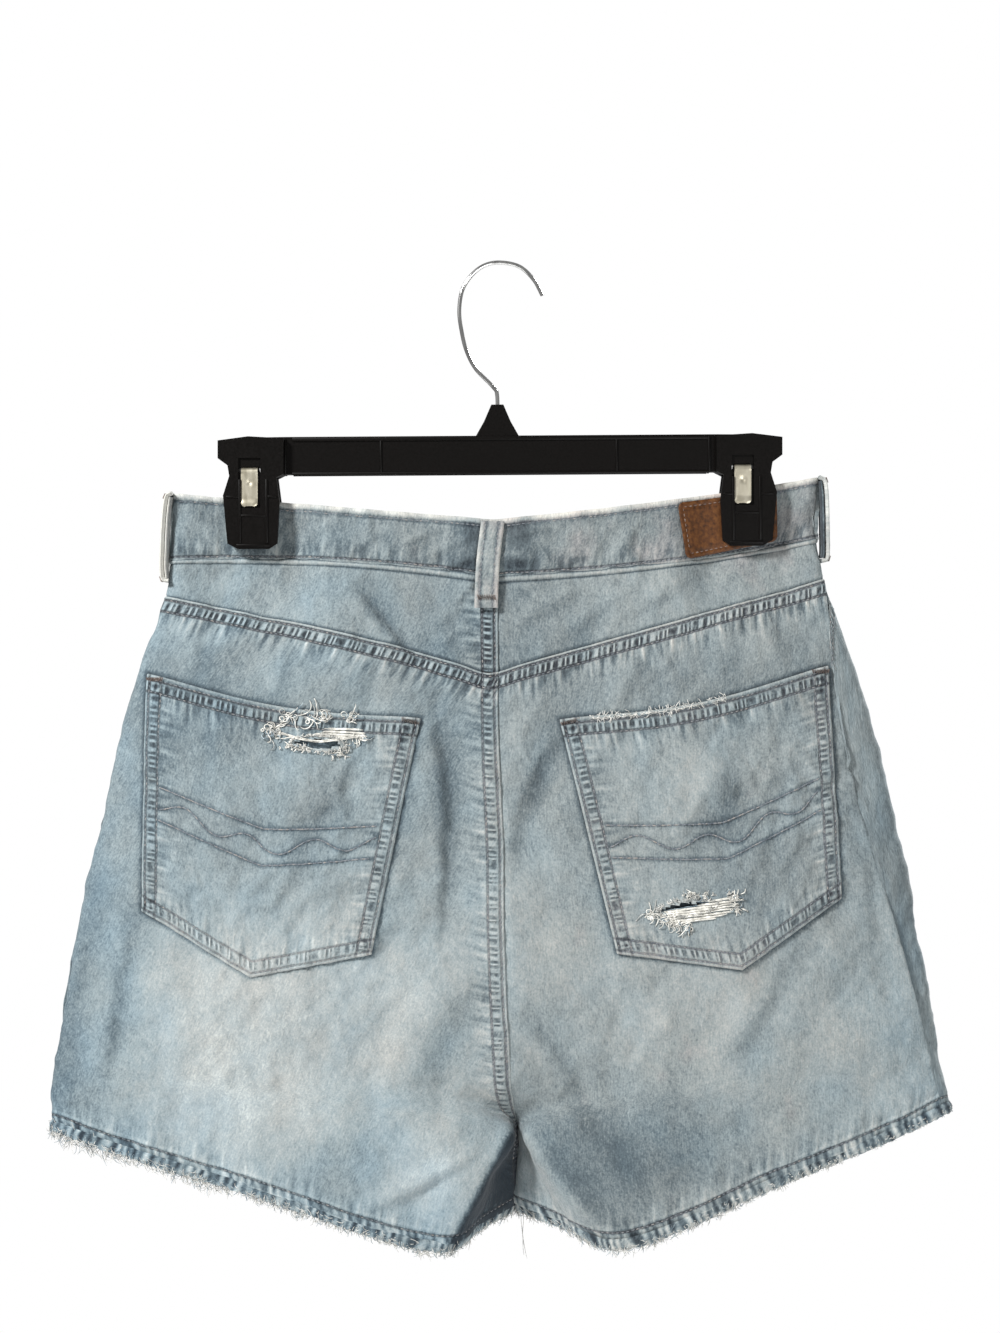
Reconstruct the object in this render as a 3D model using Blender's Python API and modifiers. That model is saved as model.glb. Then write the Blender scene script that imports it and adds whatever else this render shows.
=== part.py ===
"""Denim shorts hung by the waist from a clip hanger, seen from behind.

The wearer's back faces -Y, +X is the wearer's right and +Z is up. The origin is the inner top of the
hanger's hook, where a rail carries it. Every size is in millimetres until an object is made.

Each half of the garment is one surface, lofted through the sections in BODY and LEGS. A point on it has
two coordinates: w runs from the seat seam or inseam (0) round the side (1) to the front (2), and t
counts the sections from the waist edge (0) to the hem. The cloth pieces are stretches of that surface,
and whatever lies on them is made from its points, moved out.
"""

import math
from collections import namedtuple

import bmesh
import bpy
import numpy as np

MM = 0.001
SEAM_GAP = 0.3            # between neighbouring pieces
DENIM = 1.2               # one layer of cloth
BAND = 2.2                # the waistband's folded cloth
LEATHER = 1.2

# Sections of the body. centre: the seat seam and the front edge; left and right: the sides; bow: how far
# the row's middle rises above a straight line; back_full and front_full: how far each face stands out.
# turn: half the depth of the side's own fold.
Body = namedtuple("Body", "name centre_x centre_z back_y front_y left_x left_z left_bow"
                          " right_x right_z right_bow back_full front_full turn")
BODY = [
    Body("waist_edge", -4, -145, -9, 9, -185, -130, 0, 180, -121, -2, 7, 7, 2.6),
    Body("waist_seam", -6, -176, -11, 9, -186, -167, 4, 180, -155, -4, 10, 8, 2.8),
    Body("yoke_seam", -6, -231, -15, 10, -189, -188, 3, 184, -178, 0, 14, 9, 3.2),
    Body("flare", -6, -254, -18, 11, -201, -221, 2, 196, -215, 0, 17, 11, 3.6),
    Body("hip", -5, -285, -21, 12, -212, -260, 1, 209, -257, 0, 20, 13, 4),
    Body("seat", -3, -335, -24, 13, -225, -316, 0, 224, -313, 0, 23, 15, 4.5),
    Body("low_seat", -1, -391, -24, 14, -238, -375, 0, 237, -375, 0, 23, 16, 5),
    Body("rise", 5, -459, -19, 14, -247.5, -433, 0, 248, -431, 0, 22, 17, 5),
]
LEG_TURN = 5
TURN_REACH = 0.5          # how far in from the side the fold is at its full depth, in turns
# Sections of the legs. inseam: where back and front meet; fold: where the back turns in to the inner
# thigh; corner: where the inner thigh turns on to the front.
Leg = namedtuple("Leg", "name inseam_x inseam_y inseam_z fold_x fold_y fold_z side_x side_z corner_x"
                        " corner_y back_full front_full")
LEGS = {
    "left": [
        Leg("crotch", 10.0, 3, -488, 5, -19, -484, -251, -456, 6, 15, 22, 17),
        Leg("thigh", 8.0, 11, -508, -13, -21, -517, -252.5, -470, 3, 23, 22, 18),
        Leg("hem", 7.0, 15, -530, -30, -22, -549, -252.5, -484.5, 2, 26, 22, 19),
    ],
    "right": [
        Leg("crotch", 12.0, 3, -488, 17, -19, -484, 250.5, -450, 16, 15, 22, 17),
        Leg("thigh", 14.0, 11, -509, 36, -21, -513, 252.5, -461, 19, 23, 22, 18),
        Leg("hem", 15.0, 15, -531, 64, -22, -548, 253.5, -474, 20, 26, 22, 19),
    ],
}
SECTIONS = [row.name for row in BODY] + [row.name for row in LEGS["left"]]
SIGN = {"left": -1, "right": 1}
SEAM_SPLIT = 0.3          # how far the two legs' edges part above the crotch
FRONT_DROP = 9            # the waist sits lower at the centre front than at the back
FRONT_HEM_RISE = 5        # the front hem hangs higher than the back one

# The side seam's place round each section: below 1 it shows on the back, above 1 it is on the front.
SIDE_SEAM = {
    "left": [1, 1, 1, 1, 1, 1, 1, 1, 1, 1, 1],
    "right": [1, 1, 0.985, 0.945, 0.905, 0.895, 0.925, 0.945, 0.955, 0.96, 0.97],
}

# Large soft folds: a trough from start to end, its middle pushed sideways by bend.
Fold = namedtuple("Fold", "face start_x start_z end_x end_z bend half_width depth")
FOLDS = [
    Fold("back", -80, -178, -38, -226, 2, 9, 2.2),
    Fold("back", -38, -240, -30, -374, -9, 12, 3.0),
    Fold("back", 34, -250, 4, -345, 4, 12, 3.2),
    Fold("back", 6, -424, 94, -522, 5, 9, 3.2),
    Fold("back", 152, -386, 128, -448, -5, 11, 2.0),
    Fold("back", -205, -360, -216, -450, 3, 12, 2.6),
    Fold("front", -12, -420, -120, -372, 6, 11, 3.0),
    Fold("front", 14, -424, 116, -388, -6, 10, 2.6),
    Fold("front", -20, -452, -130, -440, 5, 12, 2.4),
    Fold("front", 26, -456, 140, -452, -4, 11, 2.4),
]

# The clips press both waistbands together.
CLIP_X = 138.6
PINCH_Y = 2.4
PINCH_X = (18, 44)        # full within the first distance of a clip's centre line, gone past the second
PINCH_Z = (-164, -214)    # full above the first height, gone below the second

# Back pockets: corners in x and z, the top edge's sag, and the rip cut through each one.
Pocket = namedtuple("Pocket", "side top_left top_right bottom_right tip bottom_left sag"
                              " rip rip_size rip_turn")
POCKETS = [
    Pocket("left", (-198, -231.5), (-45, -256.5), (-72, -387), (-139, -400), (-200, -363.5), 6,
           (-101.5, -270), (29, 5.6), -2),
    Pocket("right", (34, -257), (184, -227), (190.5, -356.5), (134.5, -395.5), (65.5, -386.5), 6,
           (104, -361), (31, 5.6), 7),
]
POCKET_LIFT = DENIM + SEAM_GAP + 0.35    # clear of the panel where both bend
POCKET_CELLS = 10         # mesh rows and columns
RIP_CUTTER_Y = -25
RIP_CUTTER_DEPTH = 60

LOOP_WIDTH = 12
LOOP_CLOTH = 1.8
FRONT_LOOP_W = 1.52       # the front loops' place round the waist
PATCH = dict(side="right", top_left=(99.5, -135.5), top_right=(155.5, -127.5),
             bottom_right=(156, -156), bottom_left=(104, -166.5))

FLY_WIDTH = 34
FLY_END = 5.6             # sections down from the waist edge
SIDE_SHARES = (0.03, 0.014, 0.004)    # the last mesh columns before the side, as shares of a face's width
MIDDLE_SHARE = 0.015                  # the first one after the middle
BACK_COLUMNS = 17
BAND_COLUMNS = 23
FRONT_COLUMNS = 11
# The front's first columns: the seam, then places round the side's turn, which the right seam is short of.
FRONT_TURN = {"left": (1, 1.004, 1.014, 1.03), "right": (1, 0.99, 1.0, 1.01, 1.03)}
FACING_TURN = (1, 0.99, 1.0, 1.01, 1.03)
FACING_TUCK = 0.02        # how far the hip facing's edge runs in behind the back
ROWS_PER_SECTION = 3      # mesh rows, the same on back and front so that their edges match
SCOOP_START_W = 1.62      # the front pocket's mouth: from the waist seam here to the side seam below
SCOOP_END_T = 2 + 4 / ROWS_PER_SECTION
LEVEL_T = 2 + 5 / ROWS_PER_SECTION    # from here down, the front's rows are the back's
SCOOP_ROWS = 6
FACING_LAP = 0.35         # how far the hip facing runs on behind the front panel, in sections
FACING_SINK = DENIM + 3.5 * SEAM_GAP

FRINGE_STRANDS = 80       # on each hem
FRINGE_STRIP = 1.4
FRINGE_LENGTH = (3.5, 9.0)
FRINGE_ROOT = 1.2
FRINGE_SEED = 7

# The hanger: a moulded bar with a neck and two fixed jaws, and two sprung jaws that face the wearer's back.
HANGER_LEAN = 0.0064      # it hangs this much higher towards +X
BAR_DEPTH = 11
NECK_X = -1.5
NECK = ((-12, -97), (-7.5, -89), (-3.4, -79.5), (3.4, -79.5), (7.5, -89), (12, -97))
# A jaw's outline from its clip's centre line, x outwards.
JAW = ((-17, -98), (3, -96.8), (20, -99), (20, -109), (14.5, -113), (13.5, -119), (17, -130), (14.5, -157),
       (9, -160), (-9, -160), (-13.5, -157), (-14.8, -134), (-13, -120), (-17, -118))
# The bar's end behind that jaw, from the bar's upper edge round to its lower one.
END_BLOCK = ((-18, -97), (3, -97.2), (19.6, -99.4), (19.6, -108.7), (14.1, -112.7), (13.1, -119.6), (-12.6, -119.6),
             (-18, -118))
JAW_PAD_TOP = -124
PLATE_Y = (5.9, 10.2)
PAD_Y = {"left": 3.75, "right": 5.75}   # the sprung jaws' pads: the right one also grips the patch
FIXED_PAD_Y = 3.75
# Outwards from each clip's centre line: both springs sit towards -X.
SPRING_X = {"left": (-2.4, 6.8), "right": (-6.8, 2.4)}
SPRING_Z = (-136, -114.2)
SPRING_STEEL = 1.0
SLOT_SIDE = 1.6
SLOT_TOP = -109
JAW_OVERLAP = 0.6         # how far a fixed jaw's plate is let into the bar
PAST_HANGER = 20          # how far a cutter reaches past the hanger's middle
HOOK_WIRE = 2.3
HOOK_LOWER_END = -90
# The hook's centre line, from its tip over the rail to the neck.
HOOK = ((24, -17.5), (19, -8.5), (11, -1.2), (0, 1.15), (-9, -0.6), (-16.2, -6.2), (-21.3, -14.6), (-23, -26),
        (-21.8, -37), (-19, -48.5), (-13.6, -59), (-4, -69), (-1.6, -74), (-1.5, HOOK_LOWER_END))


# ---------------------------------------------------------------- curves

def through(points, at, before, after):
    """Catmull-Rom curve through points (first axis), with a phantom point before and after."""
    every = np.concatenate([before[None], points, after[None]])
    index = np.clip(at.astype(int), 0, len(points) - 2)
    f = (at - index).reshape(at.shape + (1,) * (points.ndim - 1))
    a, b, c, d = (every[index + k] for k in range(4))
    return b + 0.5 * f * (c - a + f * (2 * a - 5 * b + 4 * c - d + f * (3 * (b - c) + d - a)))


def mix(a, b, f):
    return a + (b - a) * f


def ease(x, low, high):
    """0 at low, 1 at high, smooth between."""
    f = np.clip((x - low) / (high - low), 0, 1)
    return f * f * (3 - 2 * f)


# ---------------------------------------------------------------- the garment's surface

def across(inner, side, fraction, y, bow=0.0):
    point = mix(np.array(inner, float), np.array(side, float), fraction)
    point[1] = y
    point[2] += bow * 4 * fraction * (1 - fraction)
    return point


def body_controls(row, half):
    """A section's control points, from the seat seam round the side to the front edge."""
    sign = SIGN[half]
    side_x = getattr(row, half + "_x")
    side_z = getattr(row, half + "_z")
    bow = getattr(row, half + "_bow")
    split = SEAM_SPLIT * sign if row.name == "rise" else 0
    drop = FRONT_DROP if row.name in ("waist_edge", "waist_seam") else 0
    side = np.array([side_x, 0.0, side_z])
    back = np.array([row.centre_x + split, row.back_y, row.centre_z])
    front = np.array([row.centre_x + split, row.front_y, row.centre_z - drop])
    near_back = across(back, side, 0.1, row.back_y, bow)
    near_front = across(front, side, 0.1, row.front_y, bow)
    controls = [
        back,
        near_back,
        across(back, side, 0.3, row.back_y, bow),
        across(back, side, 0.6, -row.back_full, bow),
        across(back, side, 0.88, -0.62 * row.back_full, bow),
        side - [sign * TURN_REACH * row.turn, row.turn, 0],
        side,
        side - [sign * TURN_REACH * row.turn, -row.turn, 0],
        across(front, side, 0.88, 0.66 * row.front_full, bow),
        across(front, side, 0.6, row.front_full, bow),
        across(front, side, 0.3, row.front_y, bow),
        near_front,
        front,
    ]
    before = near_back * [-1, 1, 1] + [2 * back[0], 0, 0]
    after = near_front * [-1, 1, 1] + [2 * front[0], 0, 0]
    return [before] + controls + [after]


def leg_controls(row, half):
    """A leg's control points, from the inseam round the side and back to the inseam."""
    sign = SIGN[half]
    side = np.array([row.side_x, 0.0, row.side_z])
    inseam = np.array([row.inseam_x, row.inseam_y, row.inseam_z])
    fold = np.array([row.fold_x, row.fold_y, row.fold_z])
    corner = np.array([row.corner_x, row.corner_y, row.inseam_z])
    rise = FRONT_HEM_RISE if row.name == "hem" else 0
    strip = mix(inseam, fold, 0.5)
    controls = [
        inseam,
        strip,
        fold,
        across(fold, side, 0.5, -row.back_full),
        across(fold, side, 0.86, -0.62 * row.back_full),
        side - [sign * TURN_REACH * LEG_TURN, LEG_TURN, 0],
        side,
        side - [sign * TURN_REACH * LEG_TURN, -LEG_TURN, 0],
        across(corner, side, 0.88, 0.66 * row.front_full),
        across(corner, side, 0.5, row.front_full, rise),
        across(corner, side, 0.12, row.corner_y - 1, 0.5 * rise),
        corner,
        inseam,
    ]
    return [corner] + controls + [strip]


def half_controls(half):
    body = [body_controls(row, half) for row in BODY]
    legs = [leg_controls(row, half) for row in LEGS[half]]
    return np.array(body + legs)


HALVES = {half: half_controls(half) for half in SIGN}
SIDE_INDEX = 6            # the side's place among a section's control points
STEPS = 8                 # curve points from one control point to the next


def fold_depth(x, z, face):
    depth = np.zeros_like(x)
    for fold in FOLDS:
        if fold.face != face:
            continue
        run = np.array([fold.end_x - fold.start_x, fold.end_z - fold.start_z])
        length = math.hypot(*run)
        along = ((x - fold.start_x) * run[0] + (z - fold.start_z) * run[1]) / length ** 2
        aside = ((x - fold.start_x) * run[1] - (z - fold.start_z) * run[0]) / length
        swell = np.clip(4 * along * (1 - along), 0, 1)
        depth += fold.depth * np.sqrt(swell) * np.exp(-((aside - fold.bend * swell) / fold.half_width) ** 2)
    return depth


def spline_slopes(rows):
    """Centripetal knot spacing and slopes of a row of control points with one phantom at each end."""
    spacing = np.sqrt(np.linalg.norm(np.diff(rows, axis=1), axis=2))
    speed = np.diff(rows, axis=1) / spacing[..., None]
    before, after = spacing[:, :-1, None], spacing[:, 1:, None]
    slopes = (after * speed[:, :-1] + before * speed[:, 1:]) / (before + after)
    return spacing[:, 1:-1], slopes


def along_row(rows, knots, slopes, each, at):
    """Hermite curve through the control points, at one place for each row."""
    i = np.clip(at.astype(int), 0, knots.shape[1] - 1)
    f = (at - i)[:, None]
    reach = knots[each, i][:, None]
    return ((1 + 2 * f) * (1 - f) ** 2 * rows[each, i] + f * (1 - f) ** 2 * reach * slopes[each, i]
            + f * f * (3 - 2 * f) * rows[each, i + 1] + f * f * (f - 1) * reach * slopes[each, i + 1])


def surface(half, w, t):
    """Points of one half of the garment."""
    w, t = np.broadcast_arrays(np.asarray(w, float), np.asarray(t, float))
    shape = w.shape
    w, t = w.ravel(), t.ravel()
    sections = HALVES[half]
    rows = through(sections, t, 2 * sections[0] - sections[1], 2 * sections[-1] - sections[-2])
    legs = t > SECTIONS.index("crotch")
    inseam = 0.5 * (rows[legs, 1] + rows[legs, -2])    # where the leg's two faces meet
    rows[legs, 1] = rows[legs, -2] = inseam
    knots, slopes = spline_slopes(rows)
    rows = rows[:, 1:-1]
    each = np.arange(len(w))
    spans = rows.shape[1] - 1
    fine = np.linspace(0, spans, spans * STEPS + 1)
    lines = np.stack([along_row(rows, knots, slopes, each, np.full(len(w), at)) for at in fine], axis=1)
    steps = np.linalg.norm(np.diff(lines, axis=1), axis=2)
    walked = np.concatenate([np.zeros((len(w), 1)), np.cumsum(steps, axis=1)], axis=1)
    side = walked[:, SIDE_INDEX * STEPS]
    total = walked[:, -1]
    target = np.where(w <= 1, w * side, side + (w - 1) * (total - side))
    index = np.clip((walked < target[:, None]).sum(axis=1) - 1, 0, len(fine) - 2)
    start, end = walked[each, index], walked[each, index + 1]
    points = along_row(rows, knots, slopes, each, fine[index] + (target - start) / (end - start) / STEPS)
    x, y, z = points.T
    thigh = 1 - (1 - ease(w, 0.02, 0.15)) * ease(t, SECTIONS.index("rise"), SECTIONS.index("crotch"))
    back = np.clip((1 - w) * 12, 0, 1) * thigh
    front = np.clip((w - 1) * 12, 0, 1)
    y = y + back * fold_depth(x, z, "back") - front * fold_depth(x, z, "front")
    pinch = (1 - ease(np.abs(np.abs(x) - CLIP_X), *PINCH_X)) * ease(z, PINCH_Z[1], PINCH_Z[0])
    points[:, 1] = mix(y, np.where(w <= 1, -PINCH_Y, PINCH_Y), pinch)
    return points.reshape(shape + (3,))


def normals(half, w, t):
    """Outward unit normals of that surface."""
    step = 1e-3
    along = surface(half, np.asarray(w) + step, t) - surface(half, np.asarray(w) - step, t)
    down = surface(half, w, np.asarray(t) + step) - surface(half, w, np.asarray(t) - step)
    out = np.cross(down, along) * SIGN[half]
    return out / np.linalg.norm(out, axis=-1, keepdims=True)


def locate(half, x, z):
    """The back's w and t at a place seen from behind, by Newton's method from the nearest of a few."""
    guesses_w, guesses_t = np.meshgrid(np.linspace(0, 1, 21), np.linspace(0, len(SECTIONS) - 1, 41))
    guesses = surface(half, guesses_w, guesses_t).reshape(-1, 3)
    x, z = np.broadcast_arrays(np.asarray(x, float), np.asarray(z, float))
    shape = x.shape
    x, z = x.ravel(), z.ravel()
    far = (guesses[:, 0] - x[:, None]) ** 2 + (guesses[:, 2] - z[:, None]) ** 2
    nearest = far.argmin(axis=1)
    w, t = guesses_w.ravel()[nearest], guesses_t.ravel()[nearest]
    step = 1e-4
    for _ in range(6):
        here = surface(half, w, t)
        by_w = (surface(half, w + step, t) - here) / step
        by_t = (surface(half, w, t + step) - here) / step
        dx, dz = x - here[:, 0], z - here[:, 2]
        det = by_w[:, 0] * by_t[:, 2] - by_t[:, 0] * by_w[:, 2]
        w = np.clip(w + (dx * by_t[:, 2] - dz * by_t[:, 0]) / det, 0, 1)
        t = np.clip(t + (by_w[:, 0] * dz - by_w[:, 2] * dx) / det, 0, len(SECTIONS) - 1)
    return w.reshape(shape), t.reshape(shape)


def side_seam(half, t):
    values = np.array(SIDE_SEAM[half], float)
    return through(values, np.asarray(t, float), 2 * values[0] - values[1], 2 * values[-1] - values[-2])


# ---------------------------------------------------------------- objects

def material(name, colour, roughness, metallic=0.0):
    made = bpy.data.materials.new(name)
    made.use_nodes = True
    shader = made.node_tree.nodes["Principled BSDF"]
    shader.inputs["Base Color"].default_value = (*colour, 1)
    shader.inputs["Roughness"].default_value = roughness
    shader.inputs["Metallic"].default_value = metallic
    made.diffuse_color = (*colour, 1)
    return made


DENIM_LOOK = ((0.42, 0.55, 0.66), 0.9)
FRAY_LOOK = ((0.86, 0.86, 0.82), 0.9)
LEATHER_LOOK = ((0.28, 0.13, 0.07), 0.6)
PLASTIC_LOOK = ((0.012, 0.012, 0.013), 0.4)
STEEL_LOOK = ((0.75, 0.75, 0.76), 0.25, 1.0)
BRASS_LOOK = ((0.45, 0.36, 0.25), 0.4, 1.0)


def place(name, data, look, collection):
    obj = bpy.data.objects.new(name, data)
    obj.data.materials.append(material(name, *look))
    collection.objects.link(obj)
    return obj


def solidify(obj, thickness):
    shell = obj.modifiers.new("Thickness", "SOLIDIFY")
    shell.thickness = thickness * MM
    shell.offset = 0
    shell.use_even_offset = True


def sheet(name, points, thickness, look, collection):
    """A cloth piece: a grid moved to points[row, column], in millimetres, then given its thickness."""
    rows, columns = points.shape[:2]
    shell = bmesh.new()
    bmesh.ops.create_grid(shell, x_segments=columns - 1, y_segments=rows - 1, size=1)
    shell.verts.ensure_lookup_table()
    for vert, point in zip(shell.verts, points.reshape(-1, 3)):
        vert.co = point * MM
    mesh = bpy.data.meshes.new(name)
    shell.to_mesh(mesh)
    shell.free()
    mesh.shade_smooth()
    obj = place(name, mesh, look, collection)
    solidify(obj, thickness)
    return obj


def pulled_in(points, gap=0.5 * SEAM_GAP, edges="tblr"):
    """A grid of points with its edges drawn in by half a seam gap."""
    drawn = points.copy()
    pairs = {"t": (np.s_[0], np.s_[1]), "b": (np.s_[-1], np.s_[-2]),
             "l": (np.s_[:, 0], np.s_[:, 1]), "r": (np.s_[:, -1], np.s_[:, -2])}
    for edge in edges:
        here, inside = pairs[edge]
        way = drawn[inside] - drawn[here]
        drawn[here] += way / np.linalg.norm(way, axis=-1, keepdims=True) * gap
    return drawn


def facing_out(points, half):
    """Grid columns in the order that turns the faces outwards."""
    return points if half == "right" else points[:, ::-1]


def columns_from_middle(columns):
    """Shares of a face's width from the middle to the side, close together where it turns."""
    turn = [1 - share for share in SIDE_SHARES[1:]]
    return np.concatenate([[0, MIDDLE_SHARE], np.linspace(0, 1 - SIDE_SHARES[0], columns - 3)[1:], turn, [1]])


def back_grid(half, top, bottom, rows, columns):
    """Points of the back between two sections, up to the side seam."""
    t = np.linspace(top, bottom, rows + 1)[:, None]
    w = side_seam(half, t[:, 0])[:, None] * columns_from_middle(columns)
    return surface(half, w, np.broadcast_to(t, w.shape))


def front_columns(count, turn):
    """Places across the front from the side's turn to the middle."""
    return np.concatenate([turn, np.linspace(turn[-1], 2 - MIDDLE_SHARE, count)[1:], [2]])


def front_grid(half, columns, t):
    """Points of the front at the heights t[row, column], the first column on the side seam."""
    w = np.tile(columns, (len(t), 1))
    w[:, 0] = side_seam(half, t[:, 0])
    return surface(half, w, t)


def scoop(w):
    """Where the front pocket's mouth cuts the front panel: the waist seam, and down to the side seam."""
    share = np.clip((SCOOP_START_W - w) / (SCOOP_START_W - 1), 0, 1)
    return 1 + (SCOOP_END_T - 1) * (1 - np.sqrt(1 - share ** 2))


def lifted(half, w, t, lift):
    return surface(half, w, t) + normals(half, w, t) * np.asarray(lift)[..., None]


# ---------------------------------------------------------------- the cloth pieces

def make_panels(parts):
    last = len(SECTIONS) - 1
    low_t = np.linspace(LEVEL_T, last, round((last - LEVEL_T) * ROWS_PER_SECTION) + 1)[:, None]
    for half in SIGN:
        columns = front_columns(FRONT_COLUMNS, FRONT_TURN[half])
        mouth = scoop(columns)[None, :]
        high_t = mix(mouth, LEVEL_T, np.linspace(0, 1, SCOOP_ROWS + 1)[:-1, None])
        front_t = np.concatenate([high_t, low_t * np.ones_like(mouth)])
        back = pulled_in(back_grid(half, 2, last, (last - 2) * ROWS_PER_SECTION, BACK_COLUMNS))
        back = pulled_in(back, SEAM_GAP, "l")
        sheet("back_" + half, facing_out(back, half), DENIM, DENIM_LOOK, parts)
        yoke = pulled_in(back_grid(half, 1, 2, ROWS_PER_SECTION, BACK_COLUMNS))
        sheet("yoke_" + half, facing_out(yoke, half), DENIM, DENIM_LOOK, parts)
        front = pulled_in(front_grid(half, columns, front_t))
        front = pulled_in(front, SEAM_GAP, "r")
        sheet("front_" + half, facing_out(front, half), DENIM, DENIM_LOOK, parts)


def make_pocket_facings(parts):
    """The hip pieces that close the front pockets' mouths from behind."""
    rows = round((SCOOP_END_T - 1) * ROWS_PER_SECTION)
    columns = np.concatenate([FACING_TURN, np.linspace(FACING_TURN[-1], SCOOP_START_W - 0.02, 9)[1:]])
    for half in SIGN:
        t = mix(1.0, scoop(columns) + FACING_LAP, np.linspace(0, 1, rows + 1)[:, None])
        w = np.tile(columns, (rows + 1, 1))
        w[:, 0] = side_seam(half, t[:, 0]) - FACING_TUCK
        sink = np.full(t.shape, FACING_SINK)
        points = pulled_in(lifted(half, w, t, -sink), 1.2 * SEAM_GAP)
        sheet("pocket_facing_" + half, facing_out(points, half), DENIM, DENIM_LOOK, parts)


def make_waistband(parts):
    left = back_grid("left", 0, 1, ROWS_PER_SECTION, BAND_COLUMNS)[:, ::-1]
    right = back_grid("right", 0, 1, ROWS_PER_SECTION, BAND_COLUMNS)
    whole = pulled_in(np.concatenate([left, right[:, 1:]], axis=1), SEAM_GAP)
    sheet("waistband_back", whole, BAND, DENIM_LOOK, parts)
    columns = front_columns(BAND_COLUMNS - 4, FRONT_TURN["left"])
    t = np.linspace(0, 1, ROWS_PER_SECTION + 1)[:, None] * np.ones_like(columns)
    for half in SIGN:
        front = pulled_in(front_grid(half, columns, t), SEAM_GAP)
        sheet("waistband_front_" + half, facing_out(front, half), BAND, DENIM_LOOK, parts)


def make_loops(parts):
    """Five belt loops: centre back, one over each side and two on the front."""
    along = np.linspace(0, 1, 9)
    bulge = np.sin(math.pi * along) ** 0.7
    lift = 0.5 * BAND + SEAM_GAP + 0.5 * LOOP_CLOTH + 0.15 + 0.9 * bulge

    t = mix(0.02, 1.34, along)
    centre = surface("left", np.zeros(9), t)
    strip = np.stack([centre + [side * 0.5 * LOOP_WIDTH, 0, 0] for side in (-1, 0, 1)], axis=1)
    strip[..., 1] -= lift[:, None] + 0.2
    sheet("loop_centre", strip, LOOP_CLOTH, DENIM_LOOK, parts)

    for half in SIGN:
        sign = SIGN[half]
        edge = surface(half, np.ones(9), mix(0.03, 1.45, along))
        strip = np.stack([edge + [0, side * 0.5 * LOOP_WIDTH - 1, 0] for side in (-1, 0, 1)], axis=1)
        strip[..., 0] += sign * (lift[:, None] + 1.9 * bulge[:, None] + 0.3)
        sheet("loop_side_" + half, facing_out(strip, half), LOOP_CLOTH, DENIM_LOOK, parts)

        w = np.array([FRONT_LOOP_W - 0.028, FRONT_LOOP_W, FRONT_LOOP_W + 0.028])
        w, t = np.meshgrid(w, mix(0.02, 1.4, along))
        strip = lifted(half, w, t, np.broadcast_to(lift[:, None], w.shape))
        sheet("loop_front_" + half, facing_out(strip, half), LOOP_CLOTH, DENIM_LOOK, parts)


def quad_grid(top_left, top_right, bottom_right, bottom_left, rows, columns):
    across_row = np.linspace(0, 1, columns + 1)[None, :, None]
    down = np.linspace(0, 1, rows + 1)[:, None, None]
    top = mix(np.array(top_left, float), np.array(top_right, float), across_row)
    bottom = mix(np.array(bottom_left, float), np.array(bottom_right, float), across_row)
    return mix(top, bottom, down)


def pocket_outline_grid(pocket, rows, columns):
    """x and z of a pocket's points, a column on its tip."""
    share = np.linspace(0, 1, columns + 1)
    middle = columns // 2
    tip_share = (pocket.tip[0] - pocket.bottom_left[0]) / (pocket.bottom_right[0] - pocket.bottom_left[0])
    share = np.where(np.arange(columns + 1) <= middle, share * 2 * tip_share,
                     tip_share + (share - 0.5) * 2 * (1 - tip_share))[:, None]
    top = mix(np.array(pocket.top_left, float), np.array(pocket.top_right, float), share)
    top[:, 1:] -= pocket.sag * (4 * share * (1 - share)) ** 1.5
    bottom_left, tip, bottom_right = (np.array(point, float) for point in
                                      (pocket.bottom_left, pocket.tip, pocket.bottom_right))
    bottom = np.where(share <= tip_share,
                      mix(bottom_left, tip, share / tip_share),
                      mix(tip, bottom_right, (share - tip_share) / (1 - tip_share)))
    return mix(top[None], bottom[None], np.linspace(0, 1, rows + 1)[:, None, None])


def make_back_pockets(parts, cutters):
    for pocket in POCKETS:
        flat = pocket_outline_grid(pocket, POCKET_CELLS, POCKET_CELLS)
        w, t = locate(pocket.side, flat[..., 0], flat[..., 1])
        points = lifted(pocket.side, w, t, np.full(w.shape, POCKET_LIFT))
        obj = sheet("back_pocket_" + pocket.side, points, DENIM, DENIM_LOOK, parts)
        lens = bmesh.new()
        bmesh.ops.create_cone(lens, cap_ends=True, segments=16, radius1=0.5 * MM, radius2=0.5 * MM,
                              depth=RIP_CUTTER_DEPTH * MM)
        mesh = bpy.data.meshes.new("rip_" + pocket.side)
        lens.to_mesh(mesh)
        lens.free()
        cutter = bpy.data.objects.new("rip_" + pocket.side, mesh)
        cutter.rotation_euler = (math.pi / 2, math.radians(-pocket.rip_turn), 0)
        cutter.scale = (pocket.rip_size[0], pocket.rip_size[1], 1)
        cutter.location = (pocket.rip[0] * MM, RIP_CUTTER_Y * MM, pocket.rip[1] * MM)
        cutter.hide_render = True
        cutter.display_type = "WIRE"
        cutters.objects.link(cutter)
        cut = obj.modifiers.new("Rip", "BOOLEAN")
        cut.operation = "DIFFERENCE"
        cut.object = cutter


def make_patch(parts):
    flat = quad_grid(PATCH["top_left"], PATCH["top_right"], PATCH["bottom_right"], PATCH["bottom_left"], 4, 6)
    w, t = locate(PATCH["side"], flat[..., 0], flat[..., 1])
    lift = 0.5 * BAND + SEAM_GAP + 0.5 * LEATHER + 0.25
    points = lifted(PATCH["side"], w, t, np.full(w.shape, lift))
    sheet("leather_patch", points, LEATHER, LEATHER_LOOK, parts)


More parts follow.
